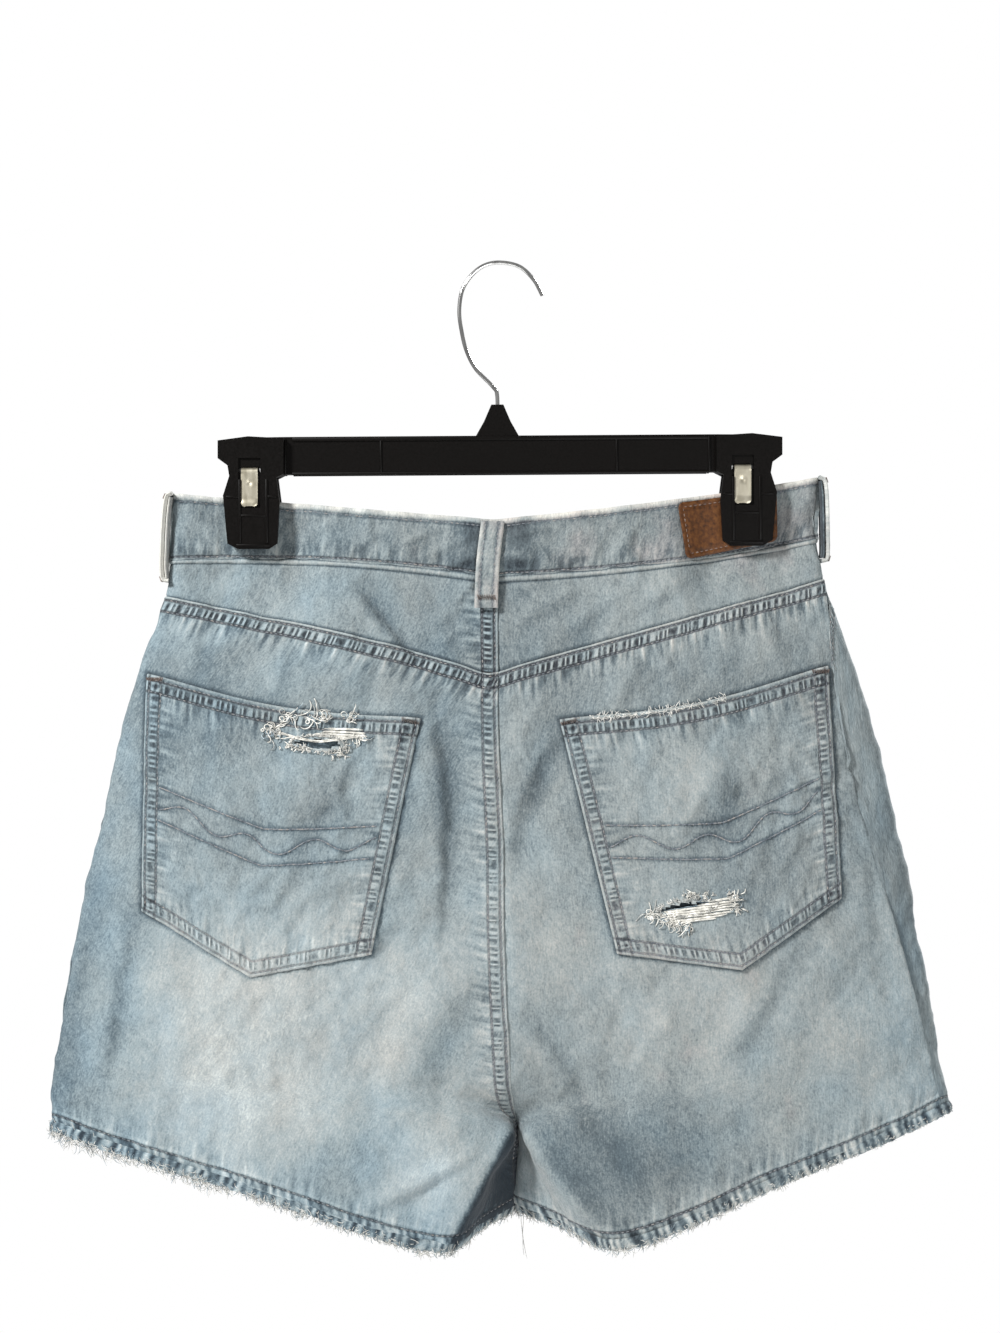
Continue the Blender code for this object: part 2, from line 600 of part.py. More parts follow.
def make_fly(parts):
    """The placket over the centre front, its lower end curved in to the seam."""
    t = np.linspace(1.05, FLY_END, 13)[:, None]
    width = FLY_WIDTH * np.sqrt(1 - np.clip((t - (FLY_END - 1.3)) / 1.42, 0, 1) ** 2)
    share = np.linspace(0.02, 1, 5)[None, :]
    edge = surface("left", np.full(t.shape, 1.5), t)
    centre = surface("left", np.full(t.shape, 2.0), t)
    run = 0.5 / np.linalg.norm(edge - centre, axis=-1)
    w = 2 - width * run * share
    points = lifted("left", w, np.broadcast_to(t, w.shape), np.full(w.shape, DENIM + SEAM_GAP + 0.15))
    sheet("fly_placket", points, DENIM, DENIM_LOOK, parts)


def make_button(parts):
    """A domed shank button on the overlapping end of the waistband."""
    where = surface("left", 1.93, 0.5)
    out = normals("left", 1.93, 0.5)
    profile = ((0, 4.4), (5.5, 4.1), (8.2, 3.2), (8.5, 2.2), (3.2, 1.5), (3.2, 0.35), (0, 0.35))
    mesh = bpy.data.meshes.new("waist_button")
    turned = bmesh.new()
    verts = [turned.verts.new((radius * MM, 0, height * MM)) for radius, height in profile]
    edges = [turned.edges.new(pair) for pair in zip(verts, verts[1:])]
    bmesh.ops.spin(turned, geom=verts + edges, cent=(0, 0, 0), axis=(0, 0, 1), angle=2 * math.pi, steps=16,
                   use_merge=True)
    bmesh.ops.remove_doubles(turned, verts=turned.verts, dist=1e-6)
    bmesh.ops.recalc_face_normals(turned, faces=turned.faces)
    turned.to_mesh(mesh)
    turned.free()
    obj = place("waist_button", mesh, BRASS_LOOK, parts)
    obj.location = (where + out * 0.5 * BAND) * MM
    obj.rotation_euler = (-math.pi / 2, 0, 0)


def make_fringe(parts):
    """A frayed edge under each hem: a narrow strip of cloth parted from the hem, with loose warp ends."""
    last = len(SECTIONS) - 1
    for half in SIGN:
        random = np.random.default_rng(FRINGE_SEED + SIGN[half])
        seam = float(side_seam(half, last))
        columns_w = np.concatenate([seam * columns_from_middle(BACK_COLUMNS),
                                    front_columns(FRONT_COLUMNS, FRONT_TURN[half])[1:]])
        corners = surface(half, columns_w, last)
        ring = np.linalg.norm(np.diff(corners, axis=0), axis=1).sum()
        starts = np.arange(FRINGE_STRANDS) * 2 / FRINGE_STRANDS
        w = np.stack([starts, starts + 2 * FRINGE_ROOT / ring], axis=1).ravel()
        edge = np.stack([np.interp(w, columns_w, corners[:, k]) for k in range(3)], axis=1)
        out = normals(half, np.clip(w, 0.01, 1.99), last)
        down = surface(half, w, last) - surface(half, w, last - 0.05)
        down /= np.linalg.norm(down, axis=1, keepdims=True)
        strip = bmesh.new()
        top, bottom = 1.6 * SEAM_GAP, 1.6 * SEAM_GAP + FRINGE_STRIP
        circles = []
        for side, drop in ((0.5, top), (0.5, bottom), (-0.5, bottom), (-0.5, top)):
            circle = bmesh.ops.create_circle(strip, segments=len(w), radius=1)["verts"]
            for vert, point in zip(circle, edge + out * side * DENIM + down * drop):
                vert.co = point * MM
            circles.append(circle)
        for first, second in zip(circles, circles[1:] + circles[:1]):
            rims = [next(e for e in v.link_edges if e.other_vert(v) is ring_next)
                    for ring_ in (first, second) for v, ring_next in zip(ring_, ring_[1:] + ring_[:1])]
            bmesh.ops.bridge_loops(strip, edges=rims)
        bmesh.ops.recalc_face_normals(strip, faces=strip.faces)
        under = set(circles[1]) | set(circles[2])
        places = {vert: number for number, vert in enumerate(circles[1])}
        roots = []
        for face in strip.faces:
            if all(vert in under for vert in face.verts):
                numbers = sorted(places[vert] for vert in face.verts if vert in places)
                if numbers[0] % 2 == 0 and numbers[1] == numbers[0] + 1:
                    roots.append(face)
        grown = bmesh.ops.extrude_discrete_faces(strip, faces=roots)["faces"]
        for face in grown:
            centre = face.calc_center_median()
            fall = random.uniform(*FRINGE_LENGTH) * MM
            sway = (random.uniform(-1.2, 1.2) * MM, random.uniform(-0.8, 0.8) * MM, -fall)
            for vert in face.verts:
                vert.co = centre + (vert.co - centre) * 0.45
            bmesh.ops.translate(strip, verts=face.verts, vec=sway)
        mesh = bpy.data.meshes.new("hem_fringe_" + half)
        strip.to_mesh(mesh)
        strip.free()
        place("hem_fringe_" + half, mesh, FRAY_LOOK, parts)


# ---------------------------------------------------------------- the hanger

def leaned(x, z):
    return z + HANGER_LEAN * x


def plate(name, outline, y_range, collection, hidden=False):
    """A flat outline in x and z, extruded between two depths, as a mesh."""
    curve = bpy.data.curves.new(name, "CURVE")
    curve.dimensions = "2D"
    curve.fill_mode = "BOTH"
    curve.extrude = 0.5 * (y_range[1] - y_range[0]) * MM
    spline = curve.splines.new("POLY")
    spline.points.add(len(outline) - 1)
    for point, (x, z) in zip(spline.points, outline):
        point.co = (x * MM, leaned(x, z) * MM, 0, 1)
    spline.use_cyclic_u = True
    flat = bpy.data.objects.new(name + "_outline", curve)
    collection.objects.link(flat)
    flat.rotation_euler = (math.pi / 2, 0, 0)
    flat.location = (0, 0.5 * (y_range[0] + y_range[1]) * MM, 0)
    graph = bpy.context.evaluated_depsgraph_get()
    mesh = bpy.data.meshes.new_from_object(flat.evaluated_get(graph))
    mesh.transform(flat.matrix_basis)
    bpy.data.objects.remove(flat)
    welded = bmesh.new()
    welded.from_mesh(mesh)
    bmesh.ops.remove_doubles(welded, verts=welded.verts, dist=1e-6)
    bmesh.ops.recalc_face_normals(welded, faces=welded.faces)
    welded.to_mesh(mesh)
    welded.free()
    obj = bpy.data.objects.new(name, mesh)
    collection.objects.link(obj)
    if hidden:
        obj.hide_render = True
        obj.display_type = "WIRE"
    return obj


def join(obj, other, operation, name):
    joined = obj.modifiers.new(name, "BOOLEAN")
    joined.operation = operation
    joined.object = other


def outwards(outline, sign):
    """A clip's outline, measured out from its centre line, at its place on the hanger."""
    return [(sign * (CLIP_X + x), z) for x, z in outline]


def box_outline(x_range, z_range):
    (left, right), (low, high) = x_range, z_range
    return [(left, low), (right, low), (right, high), (left, high)]


def jaw_pad(outline):
    """The lower, gripping part of a jaw's outline."""
    return [(-13.4, JAW_PAD_TOP)] + [(x * 0.96, z) for x, z in reversed(outline) if z < JAW_PAD_TOP] + [
        (14.5, JAW_PAD_TOP)]


def make_hanger(parts, cutters):
    half_depth = 0.5 * BAR_DEPTH
    neck = [(NECK_X + x, z) for x, z in NECK]
    bar_outline = neck + outwards(END_BLOCK, 1) + outwards(END_BLOCK, -1)[::-1]
    bar = plate("hanger_bar", bar_outline, (-half_depth, half_depth), parts)
    bar.data.materials.append(material("hanger_bar", *PLASTIC_LOOK))
    for half, sign in SIGN.items():
        jaw_outline = outwards(JAW, sign)
        pad_outline = outwards(jaw_pad(JAW), sign)
        fixed_y = (half_depth - JAW_OVERLAP, PLATE_Y[1])
        join(bar, plate("fixed_plate_" + half, jaw_outline, fixed_y, cutters, True), "UNION", "Fixed jaw")
        pad_y = (FIXED_PAD_Y, PLATE_Y[1] - 1)
        join(bar, plate("fixed_pad_" + half, pad_outline, pad_y, cutters, True), "UNION", "Fixed pad")

        jaw = plate("clip_jaw_" + half, jaw_outline, (-PLATE_Y[1], -PLATE_Y[0]), parts)
        jaw.data.materials.append(material("clip_jaw_" + half, *PLASTIC_LOOK))
        pad_y = (-PLATE_Y[0] - 1, -PAD_Y[half])
        join(jaw, plate("jaw_pad_" + half, pad_outline, pad_y, cutters, True), "UNION", "Pad")

        slot_x = (SPRING_X[half][0] - SLOT_SIDE, SPRING_X[half][1] + SLOT_SIDE)
        slot_outline = outwards(box_outline(slot_x, (SPRING_Z[1] - 2.6, SPRING_Z[1] + SEAM_GAP)), sign)
        slot = plate("spring_slot_" + half, slot_outline, (-PAST_HANGER, PAST_HANGER), cutters, True)
        recess_outline = outwards(box_outline(slot_x, (SPRING_Z[0] - 1, SLOT_TOP)), sign)
        recess_y = PLATE_Y[1] - SPRING_STEEL - SEAM_GAP
        sides = (("near", (-PAST_HANGER, -recess_y), jaw), ("far", (recess_y, PAST_HANGER), bar))
        for name, y_range, target in sides:
            recess = plate(f"spring_recess_{name}_{half}", recess_outline, y_range, cutters, True)
            join(target, slot, "DIFFERENCE", "Spring slot")
            join(target, recess, "DIFFERENCE", "Spring recess")
        make_spring(half, parts)

    bore = plate("hook_bore", box_outline((NECK_X - 1.5, NECK_X + 1.5), (HOOK_LOWER_END - 0.5, -70)),
                 (-1.5, 1.5), cutters, True)
    join(bar, bore, "DIFFERENCE", "Hook bore")


def make_spring(half, parts):
    """A steel strip bent over both jaws: a U profile in y and z, extruded across the clip."""
    outer = PLATE_Y[1]
    inner = outer - SPRING_STEEL
    top = SPRING_Z[1]
    bottom = SPRING_Z[0]
    lean = leaned(SIGN[half] * CLIP_X, 0)
    profile = [(-outer, bottom), (-outer, top - 2), (-outer + 2, top), (outer - 2, top), (outer, top - 2),
               (outer, bottom), (inner, bottom), (inner, top - 2.4), (inner - 1.4, top - SPRING_STEEL),
               (-inner + 1.4, top - SPRING_STEEL), (-inner, top - 2.4), (-inner, bottom)]
    mesh = bpy.data.meshes.new("clip_spring_" + half)
    strip = bmesh.new()
    x_near, x_far = (SIGN[half] * (CLIP_X + x) for x in SPRING_X[half])
    loop = [strip.verts.new((x_near * MM, y * MM, (z + lean) * MM)) for y, z in profile]
    face = strip.faces.new(loop)
    grown = bmesh.ops.extrude_face_region(strip, geom=[face])["geom"]
    moved = [item for item in grown if isinstance(item, bmesh.types.BMVert)]
    bmesh.ops.translate(strip, verts=moved, vec=((x_far - x_near) * MM, 0, 0))
    bmesh.ops.recalc_face_normals(strip, faces=strip.faces)
    strip.to_mesh(mesh)
    strip.free()
    place("clip_spring_" + half, mesh, STEEL_LOOK, parts)


def make_hook(parts):
    """The wire, its centre line read from a smooth curve through HOOK."""
    points = np.array([(x, 0, z) for x, z in HOOK], float)
    at = np.linspace(0, len(points) - 1, 3 * (len(points) - 1) + 1)
    line = through(points, at, 2 * points[0] - points[1], 2 * points[-1] - points[-2])
    curve = bpy.data.curves.new("hanger_hook", "CURVE")
    curve.dimensions = "3D"
    curve.bevel_depth = 0.5 * HOOK_WIRE * MM
    curve.bevel_resolution = 2
    curve.use_fill_caps = True
    spline = curve.splines.new("POLY")
    spline.points.add(len(line) - 1)
    for point, co in zip(spline.points, line):
        point.co = (*(co * MM), 1)
    place("hanger_hook", curve, STEEL_LOOK, parts)


def main():
    for obj in list(bpy.data.objects):
        bpy.data.objects.remove(obj, do_unlink=True)
    parts = bpy.data.collections.new("denim_shorts_on_hanger")
    cutters = bpy.data.collections.new("cutters")
    for collection in (parts, cutters):
        bpy.context.scene.collection.children.link(collection)
    make_panels(parts)
    make_pocket_facings(parts)
    make_waistband(parts)
    make_loops(parts)
    make_back_pockets(parts, cutters)
    make_patch(parts)
    make_fly(parts)
    make_button(parts)
    make_fringe(parts)
    make_hanger(parts, cutters)
    make_hook(parts)


main()
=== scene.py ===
"""Denim shorts hung by the waistband from a clip hanger, dressed in cloth, thread, leather and metal.

The wearer's back faces -Y, +X is the wearer's right and +Z is up, and the hook's inner top is the origin.
Sizes are in millimetres until a piece is made. Each half of the garment is one surface: w runs from the
seat seam or inseam (0) round the side (1) to the front (2), and t counts the sections from the waist
edge (0) to the hem. A cloth piece is a fine grid on that surface, raised and drawn in by its seams.
"""

import math
from collections import namedtuple

import bmesh
import bpy
import numpy as np
from mathutils import Matrix, Vector
from mathutils.kdtree import KDTree


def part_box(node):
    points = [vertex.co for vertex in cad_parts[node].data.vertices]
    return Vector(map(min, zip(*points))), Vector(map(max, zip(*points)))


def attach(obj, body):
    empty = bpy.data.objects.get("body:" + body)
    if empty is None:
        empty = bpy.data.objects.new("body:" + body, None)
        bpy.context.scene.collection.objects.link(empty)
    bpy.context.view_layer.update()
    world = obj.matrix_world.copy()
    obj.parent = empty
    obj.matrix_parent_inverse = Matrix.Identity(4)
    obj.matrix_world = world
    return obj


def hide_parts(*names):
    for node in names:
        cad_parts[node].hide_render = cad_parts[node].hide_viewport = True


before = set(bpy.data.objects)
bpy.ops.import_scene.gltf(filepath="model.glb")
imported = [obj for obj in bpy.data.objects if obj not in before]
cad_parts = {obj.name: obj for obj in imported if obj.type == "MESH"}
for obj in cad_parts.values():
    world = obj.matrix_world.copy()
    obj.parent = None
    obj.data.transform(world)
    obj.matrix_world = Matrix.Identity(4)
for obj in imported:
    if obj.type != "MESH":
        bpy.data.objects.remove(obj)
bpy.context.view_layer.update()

bl_info = {
    "name": "Denim Shorts on a Clip Hanger",
    "version": (1, 0, 0),
    "blender": (4, 5, 0),
    "location": "3D View > Sidebar > Shorts",
    "description": "Dresses a pair of frayed denim shorts and the clip hanger that holds it",
    "category": "Object",
}

MM = 0.001
DENIM = 1.2
BAND = 2.2
LEATHER = 1.2
SIGN = {"left": -1, "right": 1}
OPPOSITE = {"left": "right", "right": "left", "top": "bottom", "bottom": "top"}

# ---------------------------------------------------------------- the garment's surface

# Sections of the body, as in the solids: see the columns' names.
Body = namedtuple("Body", "name centre_x centre_z back_y front_y left_x left_z left_bow"
                          " right_x right_z right_bow back_full front_full turn")
BODY = [
    Body("waist_edge", -4, -145, -9, 9, -185, -130, 0, 180, -121, -2, 7, 7, 2.6),
    Body("waist_seam", -6, -176, -11, 9, -186, -167, 4, 180, -155, -4, 10, 8, 2.8),
    Body("yoke_seam", -6, -231, -15, 10, -189, -188, 3, 184, -178, 0, 14, 9, 3.2),
    Body("flare", -6, -254, -18, 11, -201, -221, 2, 196, -215, 0, 17, 11, 3.6),
    Body("hip", -5, -285, -21, 12, -212, -260, 1, 209, -257, 0, 20, 13, 4),
    Body("seat", -3, -335, -24, 13, -225, -316, 0, 224, -313, 0, 23, 15, 4.5),
    Body("low_seat", -1, -391, -24, 14, -238, -375, 0, 237, -375, 0, 23, 16, 5),
    Body("rise", 5, -459, -19, 14, -247.5, -433, 0, 248, -431, 0, 22, 17, 5),
]
LEG_TURN = 5
TURN_REACH = 0.5
Leg = namedtuple("Leg", "name inseam_x inseam_y inseam_z fold_x fold_y fold_z side_x side_z corner_x"
                        " corner_y back_full front_full")
LEGS = {
    "left": [
        Leg("crotch", 10.0, 5, -488, 5, -19, -484, -251, -456, 6, 15, 22, 17),
        Leg("thigh", 10.6, 13, -508, -13, -21, -517, -252.5, -470, 3, 23, 22, 18),
        Leg("hem", 10.4, 17, -530, -30, -22, -549, -252.5, -484.5, 2, 26, 22, 19),
    ],
    "right": [
        Leg("crotch", 10.1, 3, -488, 17, -19, -484, 250.5, -450, 16, 15, 22, 17),
        Leg("thigh", 9.8, 8, -509, 36, -21, -513, 252.5, -461, 19, 23, 22, 18),
        Leg("hem", 10.2, 10, -531, 64, -22, -548, 253.5, -474, 20, 26, 22, 19),
    ],
}
SECTIONS = [row.name for row in BODY] + [row.name for row in LEGS["left"]]
HEM = len(SECTIONS) - 1
RISE = SECTIONS.index("rise")
CROTCH = SECTIONS.index("crotch")
SEAM_SPLIT = 0.3          # between the halves at the rise, so that the legs part below it
FRONT_DROP = 9            # how much lower the waist's front hangs
FRONT_HEM_RISE = 5        # how much higher the front's hem arches
# The w of the side seam at each section.
SIDE_SEAM = {
    "left": [1] * len(SECTIONS),
    "right": [1, 1, 0.985, 0.945, 0.905, 0.895, 0.925, 0.945, 0.955, 0.96, 0.97],
}
CLIP_X = 138.6
# The clips press the cloth flat: half its thickness there, and where the press fades out across and down.
PINCH_Y = 2.4
PINCH_X = (18, 44)
PINCH_Z = (-164, -214)


def by_face(kind, **faces):
    """A table's rows, each with the name of its face put first."""
    return [kind(face, *row) for face, rows in faces.items() for row in rows]


# Folds: a trough (or, below zero, a ridge) from start to end, its middle pushed sideways by bend.
Fold = namedtuple("Fold", "face start_x start_z end_x end_z bend half_width depth")
FOLDS = by_face(Fold, back=(
    (-80, -178, -38, -226, 2, 9, 2.2), (-38, -240, -30, -374, -9, 12, 3.0), (34, -250, 4, -345, 4, 12, 3.2),
    (6, -424, 94, -522, 5, 9, 3.2), (152, -386, 128, -448, -5, 11, 2.0), (-205, -360, -216, -450, 3, 12, 2.6),
), front=(
    (-12, -420, -120, -372, 6, 11, 3.0), (14, -424, 116, -388, -6, 10, 2.6), (-20, -452, -130, -440, 5, 12, 2.4),
    (26, -456, 140, -452, -4, 11, 2.4),
))
# Smaller creases, which only this finer cloth can take.
CREASES = by_face(Fold, back=(
    (-96, -290, -120, -338, 3, 9, 1.3), (130, -286, 108, -324, -3, 10, 1.5), (-218, -478, -198, -500, 1, 3.5, 0.8),
    (-196, -484, -172, -507, 1, 3, 0.7), (-172, -496, -150, -513, -1, 3, 0.6), (-60, -535, -18, -494, 4, 6, 1.5),
    (-84, -520, 2, -470, -3, 7, -0.8), (-40, -205, -12, -190, 2, 3, 0.5), (-50, -216, -14, -204, -2, 3, 0.5),
    (4, -190, 30, -206, 2, 4, 0.5), (40, -250, 20, -272, 2, 5, 0.9), (30, -470, 62, -520, 3, 5, 1.0),
    (118, -420, 96, -470, -4, 8, 0.8), (60, -400, 40, -450, 4, 9, 0.7), (-150, -410, -120, -470, 6, 10, 0.8),
    (-232, -380, -240, -470, 2, 5, 1.0), (-70, -250, -84, -300, 3, 6, 0.7), (205, -300, 222, -420, 4, 6, 0.9),
), front=(
    (-30, -300, -90, -250, 5, 7, 1.7), (28, -320, 84, -276, -5, 7, 1.7), (-26, -352, -100, -330, 4, 6, 1.5),
    (24, -372, 92, -346, -4, 6, 1.5), (-180, -300, -196, -410, 4, 9, 1.1), (176, -310, 196, -420, -4, 9, 1.1),
))

# Ridges: the cloth climbs over reach to a crest that runs from start to end, then drops within width.
# Looking along the run, the climb is on the right and the drop on the left.
Ridge = namedtuple("Ridge", "face start_x start_z end_x end_z bend width height reach")
RIDGES = by_face(Ridge, back=(
    (-84, -182, -46, -229, 0, 4.5, 2.6, 40), (-41, -246, -37, -384, -6, 6, 2.4, 26),
    (34, -256, 2, -344, 5, 9, 3.4, 34), (13, -478, 62, -546, 3, 9, 3.2, 18), (4, -420, 46, -474, -4, 6, 2.6, 22),
    (156, -388, 122, -452, -5, 9, 2.4, 26), (88, -410, 100, -432, 0, 5, 1.2, 12),
    (128, -276, 104, -330, -4, 14, 2.2, 30), (-92, -286, -124, -350, 4, 9, 1.6, 30),
    (-206, -366, -222, -462, 3, 7, 2.4, 18), (-18, -400, -52, -470, 5, 14, 2.4, 34),
    (-8, -494, -86, -534, -3, 5, 2.0, 16), (9, -478, -29, -548, -2, 3.5, 1.8, 9),
    (-212, -474, -192, -500, 2, 3, 1.0, 7), (-196, -480, -168, -509, 2, 3, 1.1, 8),
    (-172, -494, -142, -519, 2, 4, 1.0, 8), (-86, -506, -74, -534, 0, 3, 0.9, 9), (78, -512, 112, -498, 1, 3, 0.8, 6),
    (150, -199, 158, -226, 0, 7, 1.4, 16), (-170, -200, -174, -236, 0, 6, 1.0, 14),
    (-120, -214, -126, -244, 0, 5, 1.1, 12), (78, -218, 66, -252, 0, 6, 1.2, 14),
    (-12, -165, -34, -175, 1, 2, 1.5, 6), (-14, -155, -46, -168, 1, 2, 0.8, 4), (-26, -147, -56, -160, 1, 2, 0.7, 5),
    (-60, -150, -84, -164, 1, 2.5, 0.6, 5), (20, -172, 1, -165, 2, 2, 1.5, 6), (30, -148, 6, -156, 1, 2, 0.7, 5),
    (44, -163, 38, -172, 0, 1.8, 1.0, 4), (56, -159, 52, -170, 0, 1.8, 1.0, 4), (74, -150, 66, -166, 0, 2.5, 0.7, 6),
    (-12, -178, -25, -194, 1, 2, 1.2, 6), (22, -192, 8, -181, 1, 2.5, 0.8, 5), (-176, -138, -156, -152, 1, 3, 0.8, 6),
    (-12, -193, -40, -206, 1, 3, 0.7, 6), (-14, -204, -36, -216, 1, 3, 0.6, 5), (44, -184, 8, -206, 1, 4, 0.8, 8),
    (74, -184, 30, -216, 2, 5, 0.8, 10), (110, -178, 62, -204, 2, 5, 0.7, 10),
), front=(
    (-30, -300, -100, -246, 5, 6, 2.7, 26), (100, -270, 28, -330, -5, 6, 2.5, 26),
    (-24, -430, -118, -384, 5, 8, 3.2, 26), (112, -396, 22, -436, 5, 8, 2.9, 26),
    (-180, -300, -204, -430, 4, 8, 2.4, 24), (196, -300, 206, -430, 4, 8, 2.2, 24),
    (-26, -352, -94, -322, 4, 5, 1.9, 20), (104, -336, 24, -366, -4, 5, 1.7, 18),
    (-22, -474, -136, -458, 5, 6, 1.9, 20), (128, -452, 30, -474, -4, 6, 2.0, 20),
    (-44, -196, -100, -188, 2, 4, 1.2, 12), (112, -186, 34, -206, -3, 4, 1.3, 12),
    (-146, -226, -172, -286, 2, 5, 1.3, 14), (158, -240, 180, -292, -2, 5, 1.4, 14),
))
RIDGE_HEIGHT = 1.2        # what every ridge's height is multiplied by


def through(points, at):
    """Catmull-Rom curve through points (first axis), which runs straight on past both ends."""
    every = np.concatenate([[2 * points[0] - points[1]], points, [2 * points[-1] - points[-2]]])
    index = np.clip(at.astype(int), 0, len(points) - 2)
    f = (at - index).reshape(at.shape + (1,) * (points.ndim - 1))
    a, b, c, d = (every[index + k] for k in range(4))
    return b + 0.5 * f * (c - a + f * (2 * a - 5 * b + 4 * c - d + f * (3 * (b - c) + d - a)))


def mix(a, b, f):
    return a + (b - a) * f


def ease(x, low, high):
    """0 at low, 1 at high, smooth between."""
    f = np.clip((x - low) / (high - low), 0, 1)
    return f * f * (3 - 2 * f)


def bump(x, centre, half_width):
    return np.exp(-((x - centre) / half_width) ** 2)


def across(inner, side, fraction, y, bow=0.0):
    """A control point part of the way from a section's middle to its side, at a depth of its own."""
    point = mix(np.array(inner, float), np.array(side, float), fraction)
    point[1] = y
    point[2] += bow * 4 * fraction * (1 - fraction)
    return point


def body_controls(row, half):
    """A section's control points, from the seat seam round the side to the front edge."""
    sign = SIGN[half]
    side_x = getattr(row, half + "_x")
    side_z = getattr(row, half + "_z")
    bow = getattr(row, half + "_bow")
    split = SEAM_SPLIT * sign if row.name == "rise" else 0
    drop = FRONT_DROP if row.name in ("waist_edge", "waist_seam") else 0
    side = np.array([side_x, 0.0, side_z])
    back = np.array([row.centre_x + split, row.back_y, row.centre_z])
    front = np.array([row.centre_x + split, row.front_y, row.centre_z - drop])
    near_back = across(back, side, 0.1, row.back_y, bow)
    near_front = across(front, side, 0.1, row.front_y, bow)
    controls = [
        back,
        near_back,
        across(back, side, 0.3, row.back_y, bow),
        across(back, side, 0.6, -row.back_full, bow),
        across(back, side, 0.88, -0.62 * row.back_full, bow),
        side - [sign * TURN_REACH * row.turn, row.turn, 0],
        side,
        side - [sign * TURN_REACH * row.turn, -row.turn, 0],
        across(front, side, 0.88, 0.66 * row.front_full, bow),
        across(front, side, 0.6, row.front_full, bow),
        across(front, side, 0.3, row.front_y, bow),
        near_front,
        front,
    ]
    before = near_back * [-1, 1, 1] + [2 * back[0], 0, 0]
    after = near_front * [-1, 1, 1] + [2 * front[0], 0, 0]
    return [before] + controls + [after]


def leg_controls(row, half):
    """A leg's control points, from the inseam round the side and back to the inseam."""
    sign = SIGN[half]
    side = np.array([row.side_x, 0.0, row.side_z])
    inseam = np.array([row.inseam_x, row.inseam_y, row.inseam_z])
    fold = np.array([row.fold_x, row.fold_y, row.fold_z])
    corner = np.array([row.corner_x, row.corner_y, row.inseam_z])
    rise = FRONT_HEM_RISE if row.name == "hem" else 0
    strip = mix(inseam, fold, 0.5)
    controls = [
        inseam,
        strip,
        fold,
        across(fold, side, 0.5, -row.back_full),
        across(fold, side, 0.86, -0.62 * row.back_full),
        side - [sign * TURN_REACH * LEG_TURN, LEG_TURN, 0],
        side,
        side - [sign * TURN_REACH * LEG_TURN, -LEG_TURN, 0],
        across(corner, side, 0.88, 0.66 * row.front_full),
        across(corner, side, 0.5, row.front_full, rise),
        across(corner, side, 0.12, row.corner_y - 1, 0.5 * rise),
        corner,
        inseam,
    ]
    return [corner] + controls + [strip]


def half_controls(half):
    body = [body_controls(row, half) for row in BODY]
    legs = [leg_controls(row, half) for row in LEGS[half]]
    return np.array(body + legs)


HALVES = {half: half_controls(half) for half in SIGN}
SIDE_INDEX = 6            # the side's place among a section's control points
STEPS = 8                 # curve points from one control point to the next
SIDE_FADE = 12            # folds reach their depth at this part of a unit of w from the side
BATCH = 8000              # places worked out at a time, to spare memory


def beside(line, x, z):
    """How far along a fold or ridge each place lies, from 0 to 1, how far to the side of its bend in mm, and
    how near its middle."""
    run = np.array([line.end_x - line.start_x, line.end_z - line.start_z])
    length = math.hypot(*run)
    along = ((x - line.start_x) * run[0] + (z - line.start_z) * run[1]) / length ** 2
    aside = ((x - line.start_x) * run[1] - (z - line.start_z) * run[0]) / length
    arch = np.clip(4 * along * (1 - along), 0, 1)
    return along, aside - line.bend * arch, arch


def tapered(along):
    """1 along a ridge's middle, and fading to 0 a little past both ends."""
    return ease(along, -0.12, 0.35) * (1 - ease(along, 0.65, 1.12))


def folded(x, z, face, table):
    """The depth of a table's folds at places on one face."""
    depth = np.zeros_like(x)
    for fold in table:
        if fold.face == face:
            _, aside, arch = beside(fold, x, z)
            depth += fold.depth * np.sqrt(arch) * bump(aside, 0, fold.half_width)
    return depth


def ridged(x, z, face):
    """How far the ridges raise the cloth at places on one face."""
    height = np.zeros_like(x)
    for ridge in RIDGES:
        if ridge.face == face:
            along, aside, _ = beside(ridge, x, z)
            height += RIDGE_HEIGHT * ridge.height * tapered(along) * np.exp(
                -np.maximum(aside, 0) / ridge.reach) * (1 - ease(-aside, -0.35 * ridge.width, ridge.width))
    return height


def rubbed(x, z, face):
    """Along the folds: crests rubbed pale, and painted shade at the foot of each ridge's drop and in each fold's
    trough.
    """
    tone = np.zeros_like(x)
    for ridge in RIDGES:
        if ridge.face == face:
            along, aside, _ = beside(ridge, x, z)
            tone += tapered(along) * min(1, 0.3 + 0.3 * ridge.height) * (
                0.07 * bump(aside, 1.0 * ridge.width, 1.2 * ridge.width)
                - 0.09 * bump(aside, -0.55 * ridge.width, 0.9 * ridge.width))
    # Painted shade in the troughs of the folds and creases.
    for fold in FOLDS + CREASES:
        if fold.face == face:
            _, aside, arch = beside(fold, x, z)
            tone -= 0.02 * fold.depth * np.sqrt(arch) * bump(aside, 0, fold.half_width)
    return tone


def spline_slopes(rows):
    """Centripetal knot spacing and slopes of a row of control points with one phantom at each end."""
    spacing = np.sqrt(np.linalg.norm(np.diff(rows, axis=1), axis=2))
    speed = np.diff(rows, axis=1) / spacing[..., None]
    before, after = spacing[:, :-1, None], spacing[:, 1:, None]
    slopes = (after * speed[:, :-1] + before * speed[:, 1:]) / (before + after)
    return spacing[:, 1:-1], slopes


def along_row(rows, knots, slopes, each, at):
    """Hermite curve through the control points, at one place for each row."""
    i = np.clip(at.astype(int), 0, knots.shape[1] - 1)
    f = (at - i)[:, None]
    reach = knots[each, i][:, None]
    return ((1 + 2 * f) * (1 - f) ** 2 * rows[each, i] + f * (1 - f) ** 2 * reach * slopes[each, i]
            + f * f * (3 - 2 * f) * rows[each, i + 1] + f * f * (f - 1) * reach * slopes[each, i + 1])


